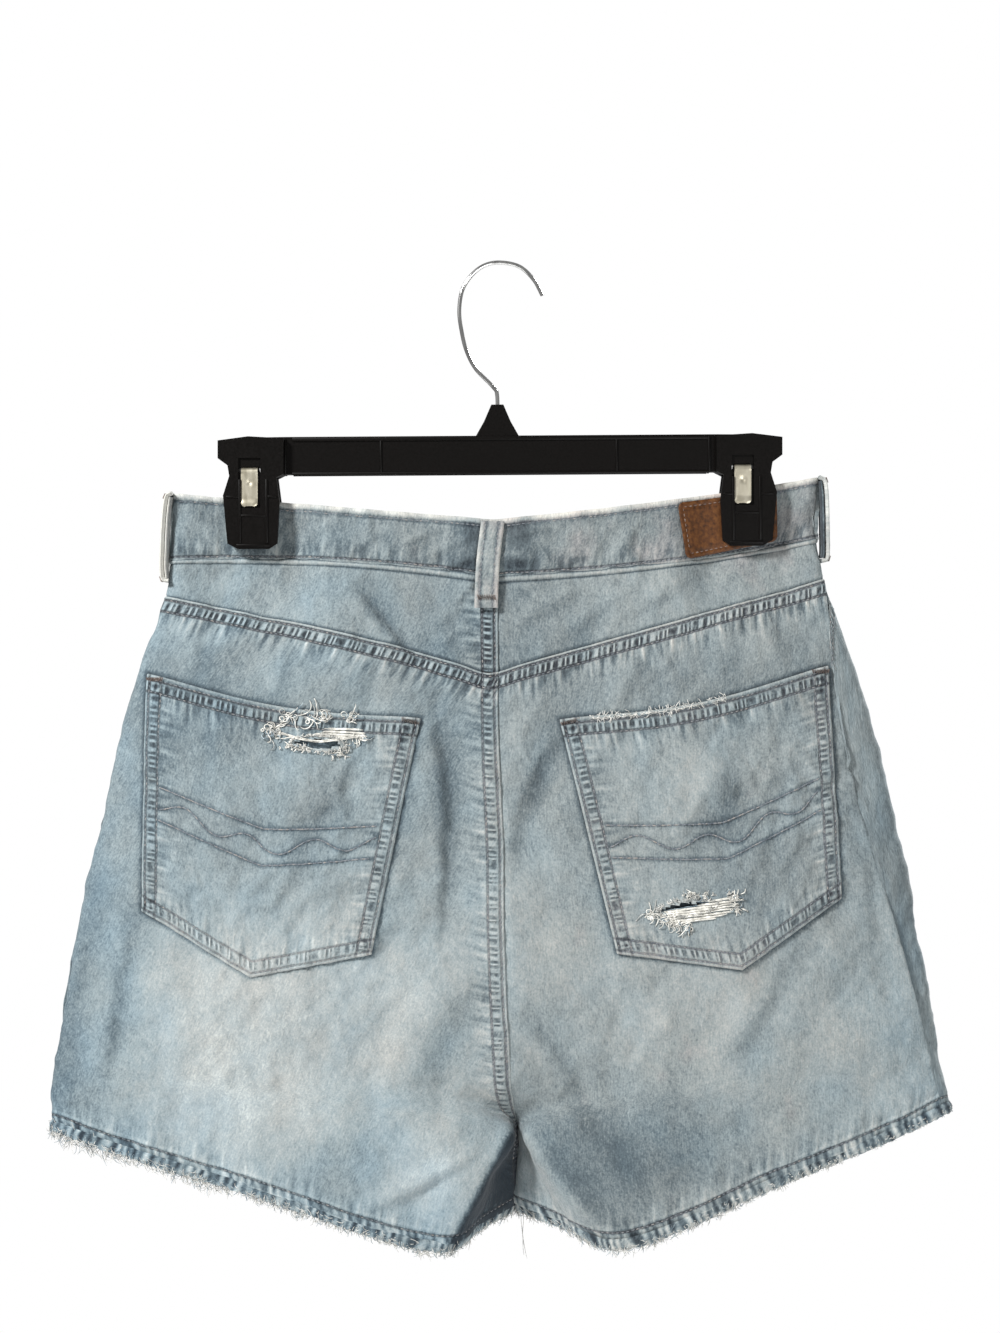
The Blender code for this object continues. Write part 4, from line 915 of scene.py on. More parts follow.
def strands(name, runs, radius, material, sides=0, taper=0.0):
    """Threads as one mesh. Each run is a line of points; taper thins both of its ends."""
    curve = bpy.data.curves.new(name, "CURVE")
    curve.dimensions = "3D"
    curve.bevel_depth = radius * MM
    curve.bevel_resolution = sides
    curve.use_fill_caps = True
    for run in runs:
        spline = curve.splines.new("POLY")
        spline.points.add(len(run) - 1)
        spline.points.foreach_set("co", np.column_stack([run * MM, np.ones(len(run))]).ravel())
        if taper:
            along = np.linspace(0, 1, len(run))
            spline.points.foreach_set("radius", (1 - taper * np.abs(2 * along - 1) ** 2))
    line = bpy.data.objects.new(name, curve)
    bpy.context.scene.collection.objects.link(line)
    graph = bpy.context.evaluated_depsgraph_get()
    mesh = bpy.data.meshes.new_from_object(line.evaluated_get(graph))
    bpy.data.objects.remove(line)
    bpy.data.curves.remove(curve)
    mesh.shade_smooth()
    return finish_piece(name, mesh, None, material)


def inset(piece, edge, q, keep=()):
    """The line q in from one edge of a piece, its normals, and what of it lies clear of other edges."""
    def turned(grid):
        """The grid with its rows along the edge, the nearest first."""
        grid = grid.swapaxes(0, 1) if edge in ("left", "right") else grid
        return grid[::-1] if edge in ("bottom", "right") else grid

    far = turned(piece.distances[edge])
    index = np.clip((far < q).sum(axis=0), 1, len(far) - 1)
    each = np.arange(far.shape[1])
    before, after = far[index - 1, each], far[index, each]
    f = (q - before) / np.maximum(after - before, 1e-9)

    def between(grid, f):
        grid = turned(grid)
        return mix(grid[index - 1, each], grid[index, each], f)

    kept = np.ones(len(each), bool)
    for name, least in keep:
        kept &= between(piece.distances[name], f) >= least
    return between(piece.points, f[:, None])[kept], unit(between(piece.normals, f[:, None]))[kept]


def picked(at, along, vectors):
    """Vectors that are known along a line, at other places on it."""
    return np.stack([np.interp(at, along, vectors[:, k]) for k in range(3)], axis=1)


def resampled(line, facing, pitch):
    """A line's points and normals at even distances."""
    far = walked(line)
    at = np.linspace(0, far[-1], max(2, round(far[-1] / pitch) + 1))
    return picked(at, far, line), unit(picked(at, far, facing))


def stitches(line, facing, proud, pitch=2.9, filled=0.78):
    """A row of lockstitch: short threads that dive in at both ends."""
    per = 4  # steps to each stitch and the gap after it
    points, out = resampled(line, facing, pitch / per)
    runs = []
    for start in range(0, len(points) - per, per):
        some = points[start:start + per + 1]
        normal = out[start:start + per + 1]
        ends = some[0], mix(some[0], some[-1], filled)
        middle = mix(ends[0], ends[1], 0.5)
        runs.append(np.array([ends[0] + normal[0] * (proud - 0.35), middle + normal[1] * (proud + 0.12),
                              ends[1] + normal[2] * (proud - 0.35)]))
    return runs


def sew(piece, thickness, keep=None, filled=0.78):
    """Every row that a piece's seams call for. Each edge's keep says how far its rows stay from other edges,
    None being as far as from its own."""
    runs = []
    for edge, seam in piece.seams.items():
        for row in seam.rows:
            line, facing = inset(piece, edge, row, [(name, row if least is None else least)
                                                    for name, least in (keep or {}).get(edge, ())])
            if len(line) > 2:
                runs += stitches(line, facing, 0.5 * thickness, filled=filled)
    return runs


TACK_THREAD = 0.3


def bartack(centre, along, out, length, width, pitch=0.6):
    """A dense zigzag of thread."""
    side = np.cross(along, out)
    count = max(4, int(length / pitch))
    reach = np.linspace(-0.5 * length, 0.5 * length, count)[:, None]
    sway = (np.where(np.arange(count) % 2, 1, -1) * 0.5 * width)[:, None]
    return centre + along * reach + side * sway + out * 0.25


def near_surface(piece):
    """Finds the cloth under a place seen from behind: the nearest of a piece's points, and its normal."""
    places, facing = piece.points.reshape(-1, 3), piece.normals.reshape(-1, 3)
    tree = KDTree(len(places))
    for number, (x, _, z) in enumerate(places):
        tree.insert((x, 0, z), number)
    tree.balance()

    def find(x, z):
        number = tree.find((x, 0, z))[1]
        return places[number], facing[number]
    return find


def curl(random, start, heading, length, wander, lift=(0.3, 1.5), steps=8):
    """A loose thread: a line over the cloth (x, z) that wanders, and how proud it stands at each point."""
    step = length / steps
    x, z = start
    points = []
    rise = random.uniform(*lift)
    for number in range(steps + 1):
        along = number / steps
        points.append((x, z, rise * math.sin(math.pi * min(1, along * 1.15)) + 0.15))
        heading += random.normal(0, wander) * step
        x += math.cos(heading) * step
        z += math.sin(heading) * step
    return np.array(points)


def looped(random, start, heading, length, turns, steps=14):
    """A loose thread that curls one way: a line over the cloth (x, z), and how proud it stands."""
    step = length / steps
    x, z = start
    rate, rise = random.normal(0, turns), random.uniform(0.3, 1.8)
    points = []
    for number in range(steps + 1):
        points.append((x, z, 0.15 + rise * math.sin(math.pi * number / steps)))
        rate += random.normal(0, 0.25 * turns)
        heading += rate * step
        x += math.cos(heading) * step
        z += math.sin(heading) * step
    return np.array(points)


def laid(runs, find, proud):
    """Runs of (x, z, lift) set on the cloth that find gives."""
    made = []
    for run in runs:
        points = []
        for x, z, lift in run:
            under, out = find(x, z)
            points.append((x, under[1] + (proud + lift) * min(out[1], -0.5), z))
        made.append(np.array(points))
    return made


# ---------------------------------------------------------------- the garment's pieces

# How far the left half laps over the right along the seat seam: section, mm.
LAP = ((1, 4.4), (5, 4.4), (6, 3.4), (7, 0.4), (8, 0.0))
LAP_SINK = 0.9
YOKE_DEPTH = 45           # mm from the waistband's seam to the yoke's, about
# The legs' back folds, as z and x, and how much painted shade darkens the strip turned in behind each. The left strip
# faces away from the light and is dark; the right one is lit, and below zero is a touch of painted light.
LEG_FOLD = {"left": ((-549, -30), (-517, -13), (-484, 5)), "right": ((-548, 64), (-513, 36), (-484, 17))}
INNER_SHADE = {"left": 0.62, "right": -0.08}
# Places the pockets cover, seen only through the rips: kept as blue as new cloth, and darkened further as painted
# shade inside the pocket.
UNDER_RIPS = ((-101.5, -270, 18, 7, -0.28), (104, -361, 19, 7, -0.55))

# The front pockets' mouths: the w at which they leave the waistband's seam, and the t at which they reach the side
# seam. Each facing runs on under the panel, lies below it, and is tucked in at the side.
SCOOP_START_W = 1.62
SCOOP_END_T = 2 + 4 / 3
FACING_LAP = 0.35
FACING_SINK = DENIM + 1.05
FACING_TUCK = 0.02

# Back pockets: corners in x and z, the top edge's sag, and the rip's centre, size and turn.
Pocket = namedtuple("Pocket", "side top_left top_right bottom_right tip bottom_left sag rip rip_size rip_turn")
POCKETS = [
    Pocket("left", (-198, -231.5), (-45, -256.5), (-72, -387), (-139, -400), (-200, -363.5), 6,
           (-101.5, -270), (29, 5.6), -2),
    Pocket("right", (34, -257), (184, -227), (190.5, -356.5), (134.5, -395.5), (65.5, -386.5), 6,
           (104, -361), (31, 5.6), 7),
]
POCKET_LIFT = 1.85
LOOP_WIDTH = 12
LOOP_LEAN = 1.6           # how far the centre loop's foot lies to the left of its top
LOOP_CLOTH = 1.8
FRONT_LOOP_W = 1.52
# The patch's corners in x and z, clockwise from the top left, then its cut size and its corners' radius.
PATCH = ((99.5, -135.5), (155.5, -127.5), (156, -156), (104, -166.5))
PATCH_SIZE = (56, 30)
PATCH_CORNER = 3.2
FLY_WIDTH = 34
FLY_END = 5.6             # the t of its lower end
# The button from the middle of its face round to its shank: radius and height.
BUTTON_PROFILE = ((0, 4.0), (1.6, 3.95), (2.4, 3.6), (3.1, 3.45), (5.2, 3.5), (6.0, 3.9), (6.9, 4.1), (7.7, 3.8),
                  (8.3, 3.1), (8.4, 2.5), (7.9, 2.1), (3.4, 1.6), (3.2, 0.35), (0, 0.35))
# Pitches of the cloth grids: what is seen close, the seat and the front.
FINE = 1.44
MEDIUM = 1.6
COARSE = 2.9


def facing_out(points, half):
    """The left half's grid the other way round, so that its normals point out too."""
    return points if half == "right" else points[:, ::-1]


def lap(t):
    """How far w runs on below 0 where the left half laps over the right."""
    reach = np.interp(t, *np.array(LAP).T)
    return reach / np.abs(surface("right", 1.0, t)[..., 0] - surface("right", 0.0, t)[..., 0])


def back_grid(half, top, bottom, pitch, close=None):
    """The back of one half between two sections, from the seat seam's lap to the side seam. The rows named
    in close take the place of the even ones where they lie."""
    t = heights(half, 0.5, top, bottom, pitch)
    if close is not None:
        t = np.concatenate([t[t < close[0] - 0.01], close, t[t > close[-1] + 0.01]])
    t = t[:, None]
    start = -lap(t) if half == "left" else 0 * t
    w = mix(start, side_seam(half, t[:, 0])[:, None], shares(225, pitch)[None, :])
    return facing_out(surface(half, w, np.broadcast_to(t, w.shape)), half), np.broadcast_to(t, w.shape)


def front_grid(half, t, columns):
    """The front of one half at the heights t[row, column], from the side seam to the middle."""
    w = np.tile(columns, (len(t), 1))
    turn = np.minimum(side_seam(half, t[:, 0]), 1.0)[:, None]
    w = turn + (2 - turn) * (w - 1)
    return facing_out(surface(half, w, t), half)


def outline_distance(pocket, x, z):
    """How far places lie from a pocket's outline."""
    corners = [np.array(corner, float) for corner in (pocket.top_left, pocket.top_right, pocket.bottom_right,
                                                      pocket.tip, pocket.bottom_left)]
    nearest = np.full(x.shape, 1e3)
    for start, end in zip(corners, corners[1:] + corners[:1]):
        run = end - start
        along = np.clip(((x - start[0]) * run[0] + (z - start[1]) * run[1]) / (run @ run), 0, 1)
        sag = pocket.sag * (4 * along * (1 - along)) ** 1.5 if end is corners[1] else 0
        nearest = np.minimum(nearest, np.hypot(x - start[0] - along * run[0], z + sag - start[1] - along * run[1]))
    return nearest


def scoop(w):
    """Where the front pocket's mouth cuts the front panel: the waist seam, and down to the side seam."""
    share = np.clip((SCOOP_START_W - w) / (SCOOP_START_W - 1), 0, 1)
    return 1 + (SCOOP_END_T - 1) * (1 - np.sqrt(1 - share ** 2))


def pocket_flat(pocket, down, over):
    """x and z of a pocket's points at shares down and over its outline, half way over being its tip."""
    tip_share = (pocket.tip[0] - pocket.bottom_left[0]) / (pocket.bottom_right[0] - pocket.bottom_left[0])
    share = np.where(over <= 0.5, over * 2 * tip_share, tip_share + (over - 0.5) * 2 * (1 - tip_share))[:, None]
    top_left, top_right, bottom_left, tip, bottom_right = (
        np.array(point, float) for point in (pocket.top_left, pocket.top_right, pocket.bottom_left, pocket.tip,
                                             pocket.bottom_right))
    top = mix(top_left, top_right, share)
    top[:, 1:] -= pocket.sag * (4 * share * (1 - share)) ** 1.5
    bottom = np.where(share <= tip_share, mix(bottom_left, tip, share / tip_share),
                      mix(tip, bottom_right, (share - tip_share) / (1 - tip_share)))
    return mix(top[None], bottom[None], down[:, None, None])


def pocket_piece(pocket):
    """A pocket shaped over the seat, and the mask of its rip."""
    coarse = np.linspace(0, 1, 25)
    flat = pocket_flat(pocket, coarse, coarse)
    places = locate(pocket.side, flat[..., 0], flat[..., 1])
    down, over = shares(POCKET_DEPTH, FINE), shares(150, FINE)
    over[np.abs(over - 0.5).argmin()] = 0.5
    w, t = (np.stack([np.interp(over, coarse, row) for row in
                      np.stack([np.interp(down, coarse, column) for column in grid.T], axis=1)]) for grid in places)
    points = surface(pocket.side, w, t)
    seams = {"top": POCKET_TOP, "bottom": POCKET_SIDE, "left": POCKET_SIDE, "right": POCKET_SIDE}
    piece = shaped(points, seams, 21 if pocket.side == "left" else 31, lift=POCKET_LIFT, crumple=1.5)
    turn = math.radians(pocket.rip_turn)
    # Points near the rip's outline are drawn on to it, so that the hole has a clean edge, which stands out.
    x, z = piece.points[..., 0] - pocket.rip[0], piece.points[..., 2] - pocket.rip[1]
    along, aside = x * math.cos(turn) + z * math.sin(turn), z * math.cos(turn) - x * math.sin(turn)
    aside = aside + 0.35 * rumple(along / 2.2, 0, 77)
    radius = np.hypot(along / (0.5 * pocket.rip_size[0]), aside / (0.5 * pocket.rip_size[1]))
    gap = (radius - 1) * np.hypot(along, aside) / np.maximum(radius, 1e-6)
    onto = np.where(np.abs(gap) < 0.6, 1 / np.maximum(radius, 1e-6), 1.0)
    piece.points[..., 0] += x * (onto - 1)
    piece.points[..., 2] += z * (onto - 1)
    rim = bump(gap, 0, 2.2)
    piece.points[..., 1] -= 0.5 * rim
    return piece, (radius <= 1.0) | (np.abs(gap) < 0.6), rim


def puckers(s, q):
    """How much paler or bluer a hem's turned edge is along it, where it gathers and rubs."""
    wave = np.sin(2 * math.pi * (s / 5.2 + 0.9 * rumple(s / 14, 0 * s, 18) + q / 16))
    return 0.24 * wave + 0.30 * rumple(s / 2.2 + q / 4, q / 8, 17) - 0.08


class SHORTS_OT_seat(bpy.types.Operator):
    """Sew the two back panels, the left one lapped over the right along the seat seam"""
    bl_idname = "shorts.seat"
    bl_label = "Seat panels"

    def execute(self, context):
        look = context.scene.shorts_look
        runs = []
        for half in SIGN:
            points, t = back_grid(half, 2, HEM, MEDIUM)
            seat = OPPOSITE[half]
            seams = {"top": YOKE_SEAM, "bottom": HEM_SEAM, half: SIDE_EDGE,
                     seat: SEAT_SEAM if half == "left" else SIDE_EDGE}
            lift = 0.0
            if half == "right":
                lift = -LAP_SINK * (1 - ease(grid_distances(points)[seat], 4.6, 8.0)) * (1 - ease(t, 6.2, 7.2))
            piece = shaped(points, seams, 3 if half == "left" else 5, lift=lift)
            fade = worn_and_shaded(piece.points, "back")
            x, z = piece.points[..., 0], piece.points[..., 2]
            # Under each rip the panel is new-blue and darkened further as painted shade inside the pocket.
            for centre_x, centre_z, reach_x, reach_z, amount in UNDER_RIPS:
                fade += amount * bump(x, centre_x, reach_x) * bump(z, centre_z, reach_z)
            # Painted shadow: a dark line on the panel round each pocket's outline, under its edge.
            for pocket in POCKETS:
                fade -= 0.30 * bump(outline_distance(pocket, x, z), 0.6, 1.5)
            far = piece.distances["bottom"]
            fade += (0.10 * bump(far, 6.7, 1.0) - 0.16 * bump(far, 5.0, 0.8)
                     + (1 - ease(far, 4.2, 5.0)) * puckers(piece.distances["left"], far))
            # Painted shade on the strip that turns in between the legs: dark on the left, which faces away from the
            # light, and a touch paler on the lit right.
            fold_x = np.interp(z, *np.array(LEG_FOLD[half]).T)
            inner = ease((fold_x - x) * SIGN[half], 0.0, 5.0) * (1 - ease(z, -490, -484))
            fade -= INNER_SHADE[half] * inner
            cloth("back_panel_" + half, piece, look.cloth, denim(look), fade, "back_" + half, anchor=half)
            keep = {"top": ((seat, 1.3),), "bottom": ((seat, 3.0),), seat: (("bottom", 24.0),)}
            runs += sew(piece, look.cloth, keep)
        strands("seat_stitching", runs, look.thread, slate_thread())
        return {"FINISHED"}


class SHORTS_OT_yokes(bpy.types.Operator):
    """Sew the yokes, tucked in under the waistband and under the seat panels"""
    bl_idname = "shorts.yokes"
    bl_label = "Yokes"

    def execute(self, context):
        look = context.scene.shorts_look
        runs = []
        for half in SIGN:
            points, t = back_grid(half, 0.9, 2.14, FINE, 1.0 + np.linspace(0, 5.4, 13) / YOKE_DEPTH)
            seat = OPPOSITE[half]
            # Sunk under both seams, with the seam allowance's ridge just below the waistband.
            below = (t - 1.0) * YOKE_DEPTH
            lift = -1.0 * ease(t, 1.93, 2.005) - 1.0 * (1 - ease(below, -1.0, 0.3))
            lift += 0.75 * bump(below, 1.8, 1.4) - 0.35 * bump(below, 3.9, 1.0)
            if half == "right":
                lift = lift - LAP_SINK * (1 - ease(grid_distances(points)[seat], 4.6, 7.5))
            seams = {half: SIDE_EDGE, seat: YOKE_SEAT_SEAM if half == "left" else SIDE_EDGE}
            piece = shaped(points, seams, 7 if half == "left" else 9, lift=lift, crumple=0.9)
            # Drag lines hang from the waistband's seam and rise from the one below.
            for edge, number in (("top", 61), ("bottom", 62)):
                q = np.maximum(piece.distances[edge] - 4, 0)
                pull = 0.5 * np.exp(-q / 8) * rumple(piece.distances["left"] / 7, q / 20, number)
                piece.points[...] += piece.normals * pull[..., None]
            # Painted shade and light at the seams: a dark line on the yoke along the seat panel's edge and another
            # just under the waistband's edge, painted shadows of those edges; a pale line on the seam allowance's
            # ridge, a painted highlight; and a dark line below that ridge, painted shade.
            fade = (worn_and_shaded(piece.points, "back") - 0.40 * bump(t, 1.985, 0.022) + 0.16 * bump(below, 1.9, 1.2)
                    - 0.34 * bump(below, 3.8, 0.8) - 0.42 * bump(below, 0.1, 0.8))
            cloth("yoke_panel_" + half, piece, look.cloth, denim(look), fade, "yoke_" + half, anchor=half)
            runs += sew(piece, look.cloth, {seat: (("bottom", 5.0),)})
        strands("yoke_stitching", runs, look.thread, slate_thread())
        return {"FINISHED"}


class SHORTS_OT_waistband(bpy.types.Operator):
    """Sew the waistband: one piece round the back and two at the front, which meet under the button"""
    bl_idname = "shorts.waistband"
    bl_label = "Waistband"

    def execute(self, context):
        look = context.scene.shorts_look
        t = heights("left", 0.5, 0, 1, FINE)[:, None]
        w = (1 - 2 * shares(370, FINE))[None, :]
        points = surface("left", w, t)
        seams = {"top": WAIST_TOP, "bottom": WAIST_LOW}
        piece = shaped(points, seams, 11, crumple=1.3)
        low, high = piece.distances["bottom"], piece.distances["top"]
        blobs = 0.13 * rumple(piece.distances["left"] / 3.9, low / 7, 5) * bump(low, 5.8, 5.0)
        fade = worn_and_shaded(piece.points, "back", BASE_FADE - 0.07) + blobs - 0.03 * bump(low, 6, 5)
        # The top edge is rubbed pale; the dark line at its stitching, 3.5 mm down, is partly indigo kept there and
        # partly painted shade of its furrow.
        fade += (0.42 + 0.12 * rumple(piece.distances["left"] / 6, 0 * low, 6)) * bump(high, 0, 2.6) - 0.34 * bump(
            high, 3.5, 0.9)
        piece.points[...] += piece.normals * (2.2 * blobs)[..., None]
        cloth("waistband_back_cloth", piece, look.band, denim(look), fade, "waistband_back")
        runs = sew(piece, look.band, filled=0.97)
        columns = np.linspace(1, 2, 110)
        for half in SIGN:
            points = front_grid(half, np.tile(t, (1, len(columns))), columns)
            piece = shaped(points, seams, 12 if half == "left" else 13, "front", crumple=0.9)
            fade = worn_and_shaded(piece.points, "front", BASE_FADE - 0.02)
            cloth("waistband_front_cloth_" + half, piece, look.band, denim(look), fade, "waistband_front_" + half)
            runs += sew(piece, look.band, filled=0.97)
        strands("waistband_stitching", runs, look.thread, slate_thread())
        return {"FINISHED"}


class SHORTS_OT_fronts(bpy.types.Operator):
    """Sew the two front panels and the hip facings behind their pocket mouths"""
    bl_idname = "shorts.fronts"
    bl_label = "Front panels"

    def execute(self, context):
        look = context.scene.shorts_look
        runs = []
        for half in SIGN:
            seed = 41 if half == "left" else 43
            columns = 1 + np.unique(np.concatenate([shares(235, COARSE), [0.002, 0.006, 0.014, 0.022]]))
            share = (heights(half, 1.5, 1, HEM, COARSE) - 1) / (HEM - 1)
            mouth = scoop(columns)[None, :]
            points = front_grid(half, mouth + (HEM - mouth) * share[:, None], columns)
            side = OPPOSITE[half]
            seams = {"top": SCOOP_SEAM, "bottom": HEM_SEAM, side: SIDE_EDGE, half: SIDE_EDGE}
            piece = shaped(points, seams, seed, "front")
            cloth("front_panel_" + half, piece, look.cloth, denim(look), worn_and_shaded(piece.points, "front"), "front_" + half,
                  anchor=side)
            runs += sew(piece, look.cloth)
            over = np.concatenate([[1, 0.99, 1.0, 1.01], np.linspace(1.03, SCOOP_START_W - 0.02, 48)])
            t = mix(1.0, scoop(over) + FACING_LAP, np.linspace(0, 1, 40)[:, None])
            w = np.tile(over, (len(t), 1))
            w[:, 0] = side_seam(half, t[:, 0]) - FACING_TUCK
            points = facing_out(surface(half, w, t), half)
            piece = shaped(points, {}, seed + 5, "front", lift=-FACING_SINK, crumple=0.4, creases=False)
            cloth("hip_facing_" + half, piece, look.cloth, denim(look), worn_and_shaded(piece.points, "front", 0.4),
                  "pocket_facing_" + half)
        strands("front_stitching", runs, look.thread, slate_thread())
        return {"FINISHED"}


# Plain stitching across a pocket: how far down it, and how high its ripples are.
POCKET_ROWS = ((0.455, 0.0), (0.52, 0.026), (0.585, 0.0))
POCKET_DEPTH = 145


def row_height(level, ripple, columns):
    """How far down a pocket a row runs, at each of its columns."""
    return level + ripple * np.sin(8 * math.pi * np.arange(columns) / (columns - 1))


def pocket_row(piece, level, ripple, thickness):
    """One row of plain stitching across a pocket, clear of its seams."""
    rows, columns = piece.points.shape[:2]
    each = np.arange(columns)
    at = (rows - 1) * row_height(level, ripple, columns)
    above = at.astype(int)
    f = (at - above)[:, None]
    line = mix(piece.points[above, each], piece.points[above + 1, each], f)
    facing = unit(mix(piece.normals[above, each], piece.normals[above + 1, each], f))
    inner = (piece.distances["left"][above, each] > 9.2) & (piece.distances["right"][above, each] > 9.2)
    return stitches(line[inner], facing[inner], 0.5 * thickness + 0.2, filled=0.94)


# Loose threads about the rips: centre, spread, number, length, heading and how tightly they curl per mm.
Clump = namedtuple("Clump", "x z spread_x spread_z count length heading turns")
RIP_CLUMPS = {
    "left": [
        Clump(-128, -262.5, 5, 3.5, 30, 9, 0.2, 0.55),
        Clump(-118, -254.5, 5, 1.8, 10, 11, 0.5, 0.45),
        Clump(-106, -256.0, 8, 1.6, 14, 11, 0.1, 0.45),
        Clump(-97, -255.0, 3, 1.6, 12, 8, 2.0, 0.80),
        Clump(-83, -256.0, 4, 2.4, 14, 9, 1.0, 0.60),
        Clump(-80, -266, 3, 2.0, 12, 8, -0.9, 0.35),
        Clump(-113, -272.0, 9, 0.8, 34, 3.5, -0.3, 0.9),
        Clump(-93, -276, 6, 1.4, 26, 6, 0.2, 0.8),
    ],
    "right": [
        Clump(83, -366, 2.6, 1.8, 16, 8, 1.0, 0.75),
        Clump(92, -367, 3, 2.0, 16, 6, -0.6, 0.6),
        Clump(130, -355.5, 4, 2.0, 26, 5.5, 0.3, 0.6),
        Clump(131, -361, 3, 2.4, 24, 4.5, -0.3, 0.6),
        Clump(101, -371.5, 9, 1.0, 26, 6, 0.2, 0.7),
        Clump(105, -372, 1.0, 1.5, 6, 7, -1.6, 0.15),
        Clump(108, -354.5, 12, 0.8, 28, 4.5, 0.2, 0.8),
    ],
}


# Bundles of weft that still cross each rip: height in it from -1 to 1, length, shift along it and sag.
RIP_BUNDLES = {
    "left": ((1.6, 24, 12, 0.3), (2.0, 27, 12, 0.3), (2.5, 24, 14, 0.3), (3.0, 18, 14, 0.3)),
    "right": ((-2.8, 24, 3, 0.6), (-2.3, 33, 4, 0.5), (-1.8, 37, 5, 0.5), (-1.3, 40, 5, 0.4), (-0.8, 41, 5, 0.5),
              (-0.35, 38, 6, 0.4), (0.2, 22, 19, 0.4), (0.8, 15, 21, 0.4)),
}
# The heavy cord of threads along the left rip's upper edge, in x and z.
RIP_CORD = ((-124, -263.5), (-119, -264.6), (-110, -267.2), (-100, -268.2), (-90, -267.2), (-80, -265.6),
            (-76, -266.5))


def in_rip(pocket, along, aside):
    """x and z of a place given along and across a pocket's rip from its middle."""
    turn = math.radians(pocket.rip_turn)
    return (pocket.rip[0] + along * math.cos(turn) - aside * math.sin(turn),
            pocket.rip[1] + along * math.sin(turn) + aside * math.cos(turn))


def clump_threads(random, clump):
    """The curling threads of one clump."""
    made = []
    for _ in range(clump.count):
        start = (random.normal(clump.x, 0.5 * clump.spread_x), random.normal(clump.z, 0.5 * clump.spread_z))
        made.append(looped(random, start, clump.heading + random.normal(0, 0.4),
                           random.uniform(0.5, 1.25) * clump.length, clump.turns))
    return made


def rim_threads(random, pocket, count=170):
    """Short ends that stand all round a rip."""
    made = []
    for angle in random.uniform(0, 2 * math.pi, count):
        along, aside = 0.52 * pocket.rip_size[0] * math.cos(angle), 0.7 * pocket.rip_size[1] * math.sin(angle)
        outward = math.atan2(2.5 * aside, along) + math.radians(pocket.rip_turn) + random.normal(0, 0.6)
        made.append(looped(random, in_rip(pocket, along, aside), outward, random.uniform(1.0, 2.8), 0.35, steps=5))
    return made


def crossing_threads(random, pocket):
    """Bundles of weft that still cross a rip, four white strands and a blue one to each; between them it shows
    dark."""
    made = []
    for level, reach, shift, sag in RIP_BUNDLES[pocket.side]:
        for strand in range(5):
            along = np.linspace(-0.5, 0.5, 16) * (reach + random.normal(0, 2.0)) + shift
            aside = level * 0.5 * pocket.rip_size[1] + (0.24, 0.4)[strand == 4] * (strand - 1.8) + sag * rumple(
                along / 8, 3.0 * level, 5) + 0.18 * rumple(along / 4, float(strand), 6)
            proud = (0.7 + 0.3 * math.sin(1.7 * strand)) * (strand < 4)
            made.append(np.column_stack([*in_rip(pocket, along, aside), np.full(len(along), proud)]))
    return made


def mouth_threads(random, piece, count=190):
    """Fuzz along the rubbed part of the right pocket's mouth."""
    made = []
    line, _ = inset(piece, "top", 0.3)
    fuzzy_stretch = line[(line[:, 0] > 50) & (line[:, 0] < 126)]
    for _ in range(count):
        x, _, z = fuzzy_stretch[random.integers(len(fuzzy_stretch))]
        heading = random.choice([0.0, math.pi]) + random.normal(0, 0.7)
        made.append(curl(random, (x, z + random.uniform(-1.2, 0.6)), heading, random.uniform(1.2, 4.5), 0.45,
                         (0.0, 0.7), steps=4))
    return made


def cord_threads():
    """The three plies of the cord along the left rip."""
    cord = np.array(RIP_CORD)
    at = np.linspace(0, len(cord) - 1, 40)
    smooth = through(cord, at)
    return [np.column_stack([smooth[:, 0], smooth[:, 1] - shift + 0.25 * np.sin(at * 4 + shift * 7) * 0.4,
                             0.7 + 0.2 * np.cos(at * 4 + shift * 7)]) for shift in (0.0, 0.45, 0.85)]


